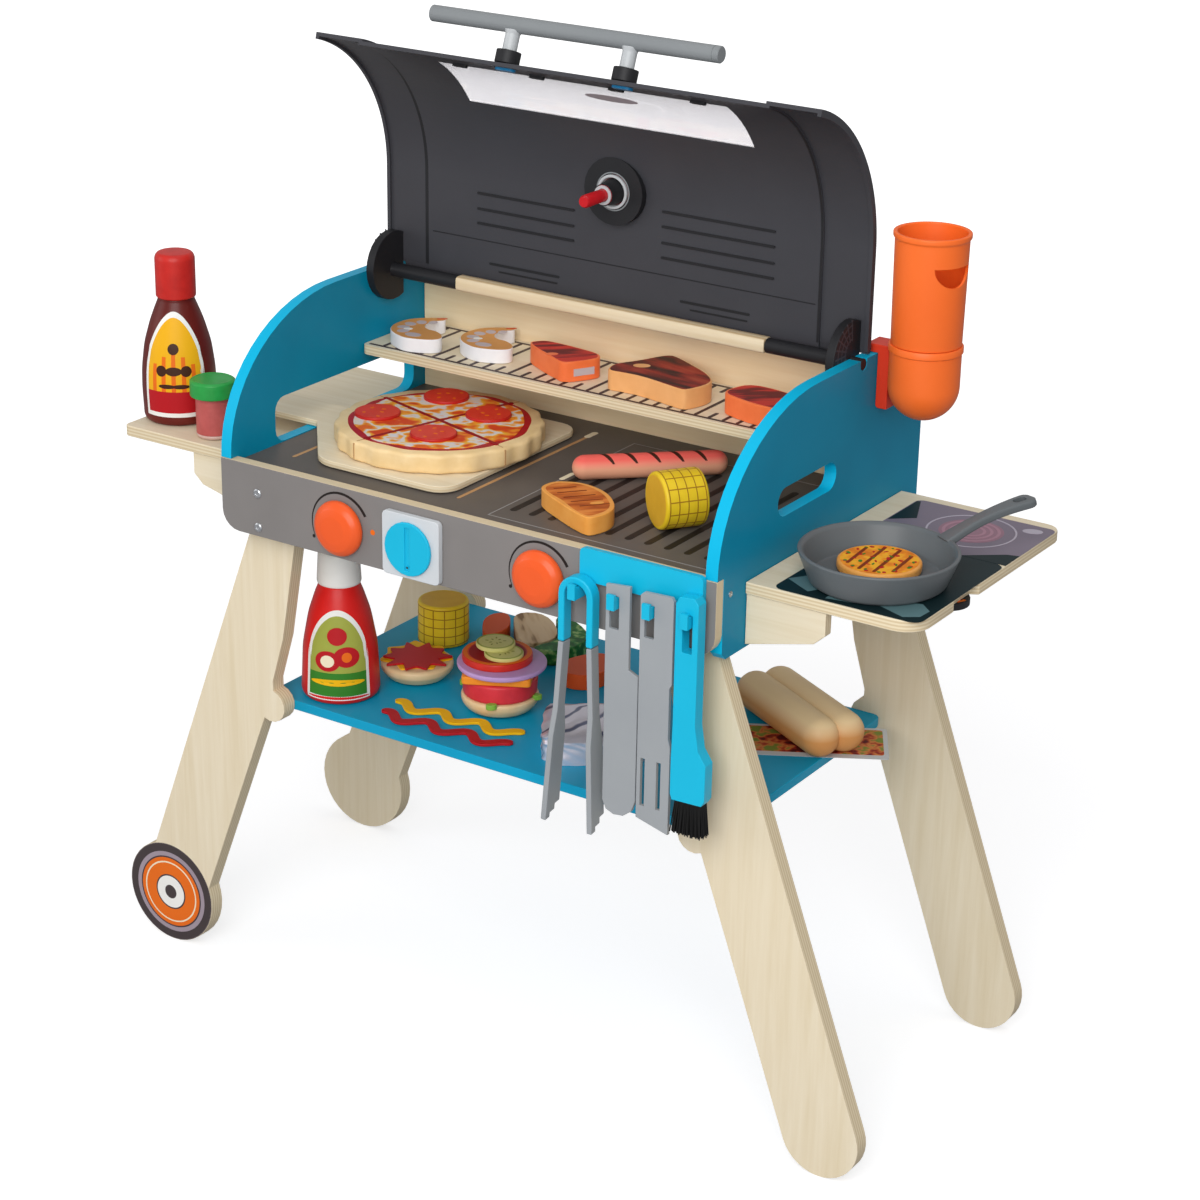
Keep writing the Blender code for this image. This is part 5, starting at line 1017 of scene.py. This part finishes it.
sausage = {"x": 71.5, "y": 184, "turn": 42.8, "length": 135, "radius": 10.7, "marks": 5, "markWidth": 4.4,
           "pitch": 20, "sweep": 14, "arc": (118, 242)}
lie, r = layDown(sausage["turn"]), sausage["radius"]
at = (sausage["x"], sausage["y"], grillTop + r)
lathePiece("sausageRoll", capsule(r, sausage["length"]), at, "sausage", faded("sausageBlush", "#EE665C", "#E8A585"),
           node="sausage", turn=lie, steps=64)
for k in range(sausage["marks"]):
    # a painted stripe that winds part way round the roll
    shape, rows, (start, end) = bmesh.new(), [], sausage["arc"]
    for i in range(29):
        t = i / 28
        z = sausage["pitch"] * (k - 2) + sausage["sweep"] * (t - 0.5)
        half = sausage["markWidth"] * sin(pi * min(max(t, 0.04), 0.96)) ** 0.35 / 2
        turn = start + (end - start) * t
        rows.append([shape.verts.new(lie @ Vector((*polar(reach, turn), z + side * half)) + Vector(at))
                     for reach, side in ((r - 0.05, -1), (r + filmMm, -1), (r + filmMm, 1), (r - 0.05, 1))])
    skin(shape, rows)
    makePiece(f"sausageMark{k}", shape, "sausage", ink["Brown"], sharp=40)

cob = {"radius": 24, "edge": 2.5, "rows": 14, "margin": 2.6, "ringPitch": 8}


def cornCob(name, node, at, lie, length):
    low, r = -length / 2, cob["radius"]
    outline = softened([(0, low), (r, low), (r, -low), (0, -low)], cob["edge"], 5)
    lathePiece(name, outline, at, node, food["corn"], node=node, turn=lie)
    lines, ends = bmesh.new(), bmesh.new()
    for k in range(cob["rows"]):
        turn = 360 * k / cob["rows"]
        skin(lines, [[lines.verts.new(lie @ Vector((*polar(side, turn + 90, polar(reach, turn)), z)) + Vector(at))
                      for reach, side in ((r - 0.2, -0.5), (r + 0.1, -0.5), (r + 0.1, 0.5), (r - 0.2, 0.5))]
                     for z in (low + cob["margin"], -low - cob["margin"])])
    rings = max(3, round((length - 6) / cob["ringPitch"]))
    for k in range(rings + 1):
        z = low + 3 + (length - 6) * k / rings
        addLathe(lines, ringSection(r - 0.2, r + filmMm, z - 0.45, z + 0.45), at, lie, 72)
    makePiece(name + "Kernels", lines, node, ink["Ochre"], sharp=40)
    for z in (low - 0.08, -low):
        addLathe(ends, [(0, z), (21, z), (21, z + 0.08), (0, z + 0.08)], at, lie, 48)
    makePiece(name + "Core", ends, node, food["cornEnd"], sharp=40)


cornCob("grillCob", "corn_on_grill", (153.5, 96, grillTop + cob["radius"]), layDown(55), 38)
cornCob("shelfCob", "corn_on_shelf", (-182, 230, shelfTop + 20.5), upright, 41)


def foodSlab(name, node, side, topPaint, centre, low, thick, outline, inset):
    # a sawn shape with painted sides, and its printed top as a film
    loop, middle = [(centre[0] + x, centre[1] + y) for x, y in smoothLoop(outline)], Vector(centre)
    prismPiece(name, node, side, "food_wood", "XY", (low, low + thick), [loop], node, 1.0)
    inner = [middle + (Vector(p) - middle) * (1 - inset / max((Vector(p) - middle).length, 1)) for p in loop]
    topFilm(name + "Top", node, topPaint, low + thick, [inner], 0.1)
    return low + thick + 0.1


outlines = {
    "chicken": ((-39.3, 2.7), (-40.7, 10.6), (-38.2, 21.6), (-31.4, 26.6), (-20, 31.9), (-4.5, 31.1), (11.6, 24.8),
                (23.5, 15.7), (35.9, 1.3), (40.3, -12.9), (38.2, -25.9), (34.2, -34.5), (27.1, -34), (9.5, -26.7),
                (-13.6, -14.4), (-29.7, -5.4)),
    "shrimp": ((-4, 36), (-17, 29), (-27, 20), (-32, 9), (-32, -9), (-24, -23), (-12, -31), (2, -35.5), (16, -31.5),
               (25, -27), (30, -20.5), (28, -13), (21, -6.5), (12, -2), (4, -3), (-5, 3), (-9, 13), (-8, 23), (-1, 30)),
    "salmonLeft": ((-38, 8), (-35, 15), (-29, 22), (-13, 22.5), (13, 20), (30, 17), (37, 11), (39, 3), (26, -20),
                   (19, -24), (9, -19), (-15, -7)),
    "salmonRight": ((-38, -11), (-36, 8), (-30, 21), (-13, 24), (22, 18), (37, 8), (37, -15), (27, -24), (2, -24),
                    (-18, -19)),
    "steak": ((-43.3, -29.8), (-48.1, -19.3), (-48, -8.4), (-36.7, 10.8), (-29, 31), (-23.4, 38.8), (-17.6, 39.5),
              (3, 29.4), (27.7, 15.7), (40.7, 4.2), (47.2, -4.8), (47.5, -18.3), (42.3, -34.1), (38.3, -38.8),
              (17.2, -33.8), (-11.9, -27.7), (-31.9, -28.5))}
roasted = printed("roastedTop", ((0.36, "#A94F1F"), (0.5, "#CF6F2C"), (0.62, "#E38A40")), 11, 50, 4)
seared = printed("searedSalmon", ((0.42, "#6E1216"), (0.48, "#A81E1E"), (0.58, "#CF2E24")), 9, 46, 6)
charred = printed("charredSteak", ((0.36, "#3A0F0C"), (0.45, "#6E1A13"), (0.58, "#9C2A1C"), (0.7, "#A8442C")),
                  13, -8, 3.5, 3.0)
top = foodSlab("chickenFillet", "chicken_steak", food["chicken"], roasted, (75, 68), grillTop, 16,
               outlines["chicken"], 4.5)
lines = []
for away, half in ((-24, 9), (-13, 12), (-1, 13), (11, 13), (23, 12)):
    spot = (75 + 0.906 * away, 71 - 0.423 * away)
    lines.append(strip(polar(-half, 50, spot), polar(half, 50, spot), 1.7))
topFilm("chickenMarks", "chicken_steak", ink["Sear"], top, lines)
# a paler oval on the roasted top: a painted highlight
topFilm("chickenGloss", "chicken_steak", food["chicken"], top, [ellipse((95, 66), (6, 3), 50)], 0.2)

for side, (x, y) in (("Left", (-195, 223)), ("Right", (-127, 236))):
    name, node = "shrimp" + side, "shrimp_" + side.lower()
    top = foodSlab(name + "Body", node, food["shrimp"], ink["Tan"], (x, y), rackTop, 13, outlines["shrimp"], 0.7)
    patches = [ellipse(polar(21, turn, (x + 1, y - 2)), half, turn) for turn, half in (
        (108, (5, 4)), (137, (5.6, 4.6)), (168, (5.8, 4.8)), (200, (5.8, 4.8)), (232, (5.8, 5)), (274, (5.5, 8)))]
    # the small white oval marked Light is a painted highlight
    for mark, tone, loops, thick in (("Rings", "LilacGrey", patches, 0.14),
                                     ("Light", "White", [ellipse((x - 12, y - 11), (4.2, 2.6), 30)], 0.24),
                                     ("Tail", "TailRed", [strip((x - 8, y + 30), (x - 3, y + 34), 3.4)], 0.2)):
        topFilm(name + mark, node, ink[tone], top, loops, thick)

for side, centre in (("Left", (-49, 221)), ("Right", (163, 220))):
    top = foodSlab(f"salmon{side}Fillet", "salmon_" + side.lower(), food["salmonSide"], seared, centre, rackTop, 18.3,
                   outlines["salmon" + side], 2.2)
topFilm("salmonEye", "salmon_left", food["salmonSide"], top, [ellipse((-50, 212), (5.5, 4), 40)], filmMm)
corner, far = Vector((-21.4, 203.8)), Vector((-11.6, 221.2))
outward = Vector((far.y - corner.y, corner.x - far.x)).normalized() * 0.25
prismPiece("salmonPatch", "salmon_left", ink["LilacGrey"], "food_wood", "XY", (576.5, 583),
           [[corner - outward * 3, corner + outward, far + outward, far - outward * 3]])
top = foodSlab("steakCut", "t_bone_steak", food["steakSide"], charred, (57, 233), rackTop, 18, outlines["steak"], 1.6)
topFilm("steakMarrow", "t_bone_steak", food["steakSide"], top, [ellipse((31, 231), (7.5, 5.2), 30)], filmMm)
print("food on the grill and rack made")

# bottles: stacked bands, with labels bent round them that face the camera
bottles = {
    "sauceBottle": {"node": "sauce_bottle", "at": (-376.5, 92.5, tableTop), "parts": (
        ("bbq", 6, 5, [(0, 0), (30, 0), (32.5, 4), (33.5, 30), (33, 48), (30, 71), (24, 92), (19, 105), (16.5, 111),
                       (16.5, 113), (0, 113)]),
        ("bbqCap", 2.5, 5, [(0, 113), (16.8, 113), (18, 114.2), (18, 150), (15.5, 154), (0, 154)]))},
    "spiceShaker": {"node": "spice_shaker", "at": (-316, 68.5, tableTop), "parts": (
        ("shakerFoot", 1.2, 4, [(0, 0), (14, 0), (15.8, 2), (15.8, 4), (0, 4)]),
        ("shakerJar", 0.8, 4, [(0, 4), (15.8, 4), (15.8, 38), (0, 38)]),
        ("shakerLid", 1.2, 5, [(0, 38), (19.6, 38), (20.5, 39), (20.5, 52), (17.6, 53.6), (16.4, 53), (0, 53)]))},
    "ketchupBottle": {"node": "ketchup_bottle", "at": (-187, 81, shelfTop), "parts": (
        ("ketchup", 6, 5, [(0, 0), (33, 0), (35.5, 5), (33.5, 48), (28, 78), (21.5, 98), (18.5, 105), (18.5, 106),
                           (0, 106)]),
        ("bottleCap", 2.2, 5, [(0, 106), (19.2, 106), (20, 108), (18.5, 135), (16, 139), (0, 139)]))}}
for name, bottle in bottles.items():
    for k, (tone, soft, count, profile) in enumerate(bottle["parts"]):
        lathePiece(f"{name}{k}", softened(profile, soft, count), bottle["at"], bottle["node"], food[tone],
                   "bottle_paint", None if k else bottle["node"])


def wrapPoint(shape, bottle, turn, across, z, lift):
    # a corner that stands on the bottle's skin, across mm from where turn points
    _, soft, count, profile = bottle["parts"][0]
    profile = softened(profile, soft, count)
    radius = next(r0 + (r1 - r0) * (z - z0) / (z1 - z0) for (r0, z0), (r1, z1) in zip(profile, profile[1:])
                  if z0 <= z <= z1 and z1 > z0 and min(r0, r1) > 1) + lift
    x, y, floor = bottle["at"]
    return shape.verts.new((*polar(radius, turn + degrees(across / radius), (x, y)), floor + z))


def wrapLabel(name, bottle, tone, zs, half, middle, arch, lift):
    # half is the label's half angle and middle where it faces, in degrees
    shape, rows = bmesh.new(), []
    for k in range(37):
        t = 2 * k / 36 - 1
        high = zs[1] - arch * (1 - sqrt(max(0.0, 1 - t * t)))
        column = [zs[0] + (high - zs[0]) * i / 14 for i in range(15)]
        rows.append([wrapPoint(shape, bottle, middle + half * t, 0, z, -0.05) for z in column]
                    + [wrapPoint(shape, bottle, middle + half * t, 0, z, lift) for z in reversed(column)])
    skin(shape, rows)
    makePiece(name, shape, bottle["node"], ink[tone], "bottle_paint", sharp=40)


def wrapDot(name, bottle, tone, middle, high, half, lift):
    # a round or oval spot
    shape = bmesh.new()
    skin(shape, [[wrapPoint(shape, bottle, middle, x * share, high + z * share, layer)
                  for x, z in (ellipse((0, 0), half, 0, 28) if share else [(0, 0)])]
                 for layer, shares in ((0.0, (0, 0.4, 0.75, 1.0)), (lift, (1.0, 0.75, 0.4, 0))) for share in shares],
         False)
    makePiece(name, shape, bottle["node"], ink[tone], "bottle_paint", sharp=40)


facingCamera = -57
sauce, ketchup = bottles["sauceBottle"], bottles["ketchupBottle"]
for name, bottle, tone, zs, half, arch, lift in (
        ("sauceLabel", sauce, "White", (9, 104), 52, 46, 0.14),
        ("sauceLabelField", sauce, "Amber", (13, 99), 46, 44, 0.24),
        ("sauceLabelLow", sauce, "Red", (13, 33), 46, 0, 0.32),
        ("ketchupLabel", ketchup, "White", (5, 88), 52, 40, 0.14),
        ("ketchupLabelField", ketchup, "PaleGreen", (9, 83), 46, 38, 0.24),
        ("ketchupLabelLow", ketchup, "Green", (9, 31), 46, 0, 0.32)):
    wrapLabel(name, bottle, tone, zs, half, facingCamera, arch, lift)
for k in range(5):
    wrapLabel(f"sauceStripe{k}", sauce, "Orange", (33, 72 - 7 * abs(k - 2)), 3.4, facingCamera - 32 + 16 * k, 0, 0.3)
for k, (away, high, half) in enumerate(((-20, 52, (5, 5)), (20, 52, (5, 5)), (0, 52, (7.5, 4)), (0, 72, (5, 5)),
                                        (-11, 38, (8, 2)), (11, 38, (8, 2)))):
    wrapDot(f"sauceDot{k}", sauce, "Brown", facingCamera + away, high, half, 0.4)
for k, (away, high, half, tone) in enumerate((
        (-15, 42, (12, 9.5), "Red"), (15, 46, (12, 9.5), "Red"), (-15, 42, (6.5, 5.6), "Cream"),
        (15, 46, (4.6, 4.6), "Orange"), (0, 65, (9, 8), "Red"), (0, 22, (26, 3), "Yellow"))):
    wrapDot(f"ketchupDot{k}", ketchup, tone, facingCamera + away, high, half, 0.4 + 0.1 * (k // 2))
print("bottles made")


# what lies on the shelf
def jaggedDisc(middle, radius, depth, points, shift=0.0):
    ring = []
    for i in range(points * 2):
        a = pi * i / points + shift
        ring.append(polar(radius + (depth if i % 2 else -depth) * (1 + 0.35 * sin(3 * a + 1)), degrees(a), middle))
    return softened(ring, 3.2, 4, True)


bun = {"at": (-150, 146, shelfTop), "high": 17}
lathePiece("openBunHalf", softened([(0, 0), (18, 0), (26, 2), (33, 10), (33.4, 15), (31, bun["high"]),
                                    (0, bun["high"])], 3, 5), bun["at"], "open_bun", food["bun"], node="open_bun")
topFilm("openBunMustard", "open_bun", ink["Yellow"], shelfTop + bun["high"], [jaggedDisc((-154, 150), 30, 4.2, 7)], 1.4)
topFilm("openBunSauce", "open_bun", ink["Red"], shelfTop + bun["high"] + 1.6,
        [jaggedDisc(bun["at"][:2], 27, 6, 10, 0.3)], 1.8)

x, y = -49, 134
for name, profile, tone, soft, away, node in (
        ("Foot", [(0, 0), (20, 0), (29, 2), (34.5, 9.5), (35, 16), (0, 16)], "bun", 4, (0, 0), "burger"),
        ("Tomato", [(0, 16), (33, 16), (34, 33.6), (0, 33.6)], "beef", 3, (0, 0), None),
        ("Onion", [(0, 41.2), (39, 41.2), (40, 43), (40, 46.2), (0, 46.2)], "onion", 1.4, (2, 0), None),
        ("Slice", [(0, 46.2), (31.5, 46.2), (31.5, 53.2), (0, 53.2)], "tomato", 1.6, (-3, 0), None),
        ("PickleLow", [(0, 53.2), (17.5, 53.2), (17.5, 56.8), (0, 56.8)], "pickle", 1, (6.5, -3.5), None),
        ("PickleTop", [(0, 56.9), (17.5, 56.9), (17.5, 60.9), (0, 60.9)], "pickle", 1, (-7.5, 3.5), None)):
    lathePiece("burger" + name, softened(profile, soft, 5), (x + away[0], y + away[1], shelfTop), "burger", food[tone],
               node=node)
cheese = [(px + (py * py - 900) / 700 * (1 if px > 0 else -1), py) for px, py in roundRect((-31, 31), (-31, 31), 4)]
prismPiece("burgerCheese", "burger", food["cheddar"], "food_wood", "XY", (33.8, 41), [cheese], None, 1.0,
           move=placed(x, y, shelfTop, 28))
for name, tone, high, loops, thick in (("SliceRim", "Orange", 53.2, ringStrips((x - 3, y), 28.6, 4), 0.14),
                                       ("SliceHeart", "DarkRed", 53.2, [circle((x - 3, y), 25.4)], 0.1)):
    topFilm("burger" + name, "burger", ink[tone], shelfTop + high, loops, thick)
for name, high, middle in (("Low", 56.8, (x + 6.5, y - 3.5)), ("Top", 60.9, (x - 7.5, y + 3.5))):
    seeds = [ellipse(polar(5 + 3 * (k % 2), 40 * k, middle), (1.6, 0.7), 40 * k) for k in range(9)]
    topFilm("pickleRim" + name, "burger", ink["PaleGreen"], shelfTop + high, ringStrips(middle, 16, 1.6))
    topFilm("pickleSeeds" + name, "burger", ink["Seed"], shelfTop + high, seeds)
prismPiece("burgerLettuce", "burger", food["lettuce"], "food_wood", "XY", (shelfTop + 13.5, shelfTop + 18.5),
           [ellipse((x + px, y + py), (5, 3.4), 40, 14) for px, py in ((-37, -2), (-30, 20), (14, -33), (34, 8))],
           None, 0.8)


def ribbon(points, width):
    # a line of points widened to both sides, with round ends
    sides, last = ([], []), len(points) - 1
    for i, p in enumerate(points):
        along = Vector(points[min(i + 1, last)]) - Vector(points[max(i - 1, 0)])
        share = sqrt(max(0.15, 1 - max(0, 1 - i / 2, 1 - (last - i) / 2) ** 2))
        across = Vector((-along.y, along.x)).normalized() * width / 2 * share
        sides[0].append(Vector(p) + across)
        sides[1].append(Vector(p) - across)
    return sides[0] + sides[1][::-1]


# loose squiggles of sauce, cut from thin wood
for name, tone, (x0, y0), (x1, y1) in (("Mustard", "Yellow", (-131, 84), (2, 92)),
                                       ("Ketchup", "Red", (-128, 60), (6, 68))):
    line = [(x0 + (x1 - x0) * k / 60, y0 + (y1 - y0) * k / 60 + 6.6 * sin(6.5 * pi * k / 60 + 0.6))
            for k in range(61)]
    prismPiece("squiggle" + name, "stand", ink[tone], "food_wood", "XY", (shelfTop, shelfTop + 2.6),
               [ribbon(line, 9.5)], None, 0.8)

# a sliced kebab row lies at the back of the shelf: pepper, aubergine, courgette, pepper
aubergine = printed("kebabTan", ((0.4, "#8C6A48"), (0.47, "#CFAE86"), (0.6, "#DCC09A")), 10, -45, 6)
courgette = printed("kebabGreen", ((0.42, "#1F5A24"), (0.55, "#2E7A34"), (0.64, "#8DB06A")), 9)
for name, paint, outline in (
        ("Pepper", ink["TailRed"], ((-165, 272), (-151, 294), (-127, 262), (-131, 232), (-144, 238))),
        ("Aubergine", aubergine, ((-147, 295), (-118, 311), (-74, 270), (-90, 232), (-124, 262))),
        ("Courgette", courgette, ((-113, 311), (-88, 313), (-51, 286), (-52, 246), (-70, 232), (-86, 232), (-72, 268))),
        ("PepperEnd", ink["TailRed"], ((-48, 220), (-25, 270), (3, 238), (-1, 210), (-25, 200)))):
    prismPiece("kebab" + name, "stand", paint, "food_wood", "XY", (shelfTop, shelfTop + 15), [smoothLoop(outline)],
               None, 1.0)

loaf = {"x": 192, "y": 249, "turn": -29, "length": 142, "radius": 18, "split": 12.5}
halves = []
for name, split in (("loafNear", -loaf["split"]), ("loafFar", loaf["split"])):
    shape = bmesh.new()
    addLathe(shape, capsule(loaf["radius"], loaf["length"], 14),
             (*polar(split, loaf["turn"] + 90, (loaf["x"], loaf["y"])), shelfTop + loaf["radius"]),
             layDown(loaf["turn"]), 72)
    halves.append(rawObject(name, shape))
cutFrom(halves[0], halves[1:], "UNION")
# the loaf is darker where it faces down
finish(halves[0], "hot_dog_bun", faded("loafBake", "#FADBAA", "#D9985A"), "food_wood", "hot_dog_bun", 30)

# the printed card under the bun
cardPaint = printed("cardPrint", ((0.38, "#5A1A1C"), (0.46, "#B5402A"), (0.55, "#D98A4A"), (0.62, "#7E8F3A")), 12)
for name, levels, paint, (across, along) in (("Base", (-0.2, 0.05), platePlastic, ((-52, 78), (-30, 34))),
                                             ("Print", (0.05, 0.15), cardPaint, ((-48, 74), (-22, 30)))):
    prismPiece("tray" + name, "stand", paint, "food_wood", "XY", levels, [roundRect(across, along, 3)],
               move=placed(205, 226, shelfTop, 30))

# foil wrapped food: a closed box pulled into crumpled creases, inside the space of its solid
foilPaper, tree, shader, coords = startMaterial("aluminiumFoil", "#C9CDD6", 0.3)
shader.inputs["Metallic"].default_value = 0.55
crumple = addNode(tree, "ShaderNodeTexWave", {"wave_profile": "SIN"},
                  {"Scale": 1000 / 70, "Distortion": 9.0, "Detail": 2.0, "Detail Scale": 1.2,
                   "Vector": coords["Object"]}).outputs["Fac"]
# the crumple wave also sets the foil's colour, from a dark blue-grey to a pale grey: painted shade in its creases and
# painted reflection on its folds
tone = addNode(tree, "ShaderNodeValToRGB", {"stops": ((0.03, "#6A6F8C"), (0.16, "#E6E2EE"))}, {"Fac": crumple})
tree.links.new(tone.outputs["Color"], shader.inputs["Base Color"])
addRelief(tree, shader, crumple, 0.8, 1.2)
foil = {"at": (64, 115, shelfTop), "half": (46, 43, 13.2), "turn": 33, "crease": 1.6}
shape = bmesh.new()
bmesh.ops.create_cube(shape, size=2)
bmesh.ops.subdivide_edges(shape, edges=shape.edges, cuts=22, use_grid_fill=True)
for vert in shape.verts:
    x, y, z = vert.co
    pinch = 1 - 0.22 * (abs(x) ** 6) * (abs(y) ** 6)
    crown = 1 - 0.38 * max(abs(x), abs(y)) ** 5
    wave = sin(7.3 * x + 4.1 * y + 1.1) + sin(11.7 * y - 6.2 * x * z + 0.4) + 0.7 * sin(17 * x + 9 * z)
    inward = 1 - foil["crease"] * (0.5 + 0.16 * wave) / 22
    lift = 1 + (z * crown * inward if z > 0 else z)
    vert.co = [p * half for p, half in zip((x * pinch * inward, y * pinch * inward, lift), foil["half"])]
shape.transform(placed(*foil["at"], foil["turn"]))
makePiece("foilParcel", shape, "foil_packet", foilPaper, "foil_silver", "foil_packet", 0, 25)
print("shelf food made")

# every solid that still shows keeps a finish of its own
slotPaint = {"side_panel_teal": tealPaint, "fascia_grey": boardPaint, "bare_ply": plyFlat,
             "cooktop_print": cooktopPaint, "lid_charcoal": lidPlastic, "utensil_grey": toolPlastic,
             "cyan_plastic": cyanPlastic}
for obj in nodes.values():
    obj.data.materials.clear()
    obj.data.materials.append(slotPaint.get(obj.get("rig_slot") or "", plyFlat))


# studio: a white floor and world for the camera, plain soft light on the toy
def seenPick(tree, unseen, seen):
    # the second shader where the camera looks, also through the pane, and the first for other rays
    ray = addNode(tree, "ShaderNodeLightPath").outputs
    direct = addNode(tree, "ShaderNodeMath", {"operation": "MAXIMUM"},
                     {0: ray["Is Camera Ray"], 1: ray["Is Transmission Ray"]})
    return addNode(tree, "ShaderNodeMixShader", None, {"Fac": direct, 1: unseen, 2: seen})


floorShape = bmesh.new()
bmesh.ops.create_grid(floorShape, x_segments=1, y_segments=1, size=9)
floor = newObject("studioFloor", floorShape)
world = bpy.data.worlds.new("studio")
bpy.context.scene.world = world
floorMaterial = bpy.data.materials.new("whiteStudioFloor")
floor.data.materials.append(floorMaterial)
for block in (world, floorMaterial):
    block.use_nodes = True
    block.node_tree.nodes.clear()
tree = world.node_tree
fill, white = [addNode(tree, "ShaderNodeBackground", None, {"Color": (1, 1, 1, 1), "Strength": strength})
               for strength in (0.45, 1.0)]
addNode(tree, "ShaderNodeOutputWorld", None, {"Surface": seenPick(tree, fill, white)})
tree = floorMaterial.node_tree
dimFloor, seenFloor = [addNode(tree, "ShaderNodeBsdfDiffuse", None, {"Color": linear(code)})
                       for code in ("#B2B2B4", "#C6C6C8")]
away = addNode(tree, "ShaderNodeVectorMath", {"operation": "LENGTH"},
               {0: addNode(tree, "ShaderNodeTexCoord").outputs["Object"]}).outputs["Value"]
farther = addNode(tree, "ShaderNodeMapRange", None,
                  {"Value": away, "From Min": 0.7, "From Max": 2.8, "To Min": 0.62, "To Max": 1.0})
glow = addNode(tree, "ShaderNodeEmission", None, {"Color": (1, 1, 1, 1), "Strength": farther})
lit = addNode(tree, "ShaderNodeAddShader", None, {0: seenFloor, 1: glow})
addNode(tree, "ShaderNodeOutputMaterial", None, {"Surface": seenPick(tree, dimFloor, lit)})


def addLamp(name, away, size, power):
    lamp = bpy.data.lights.new(name, "AREA")
    lamp.shape = "DISK"
    lamp.size = size
    lamp.energy = power
    obj = bpy.data.objects.new(name, lamp)
    bpy.context.scene.collection.objects.link(obj)
    turn = (-Vector(away)).to_track_quat("-Z", "Y").to_matrix().to_4x4()
    obj.matrix_world = Matrix.Translation(inFrame(0, 150, 450) + Vector(away)) @ turn


addLamp("keyFront", (0.95, -2.16, 1.27), 2.2, 54)
addLamp("softTop", (0.1, 0.1, 2.6), 2.2, 10)
addLamp("fillLeft", (-2.1, -1.5, 0.6), 1.6, 9)

view = {"place": (1292.8, -1768.6, 1331.7), "forward": (-0.505, 0.7765, -0.3768), "roll": 1.06, "lens": 85.707}
camera = bpy.data.cameras.new("photoView")
camera.lens = view["lens"]
camera.sensor_width = 36
camera.sensor_fit = "HORIZONTAL"
camera.clip_start = 0.05
cameraObj = bpy.data.objects.new("photoView", camera)
bpy.context.scene.collection.objects.link(cameraObj)
forward = Vector(view["forward"]).normalized()
level = forward.cross(Vector((0, 0, 1))).normalized()
above = level.cross(forward).normalized()
c, s = polar(1, view["roll"])
turn = Matrix((c * level + s * above, -s * level + c * above, -forward)).transposed()
cameraObj.matrix_world = Matrix.Translation(inFrame(*view["place"])) @ turn.to_4x4()
bpy.context.scene.camera = cameraObj
bpy.context.scene.view_settings.view_transform = "Standard"
print("camera and light made")
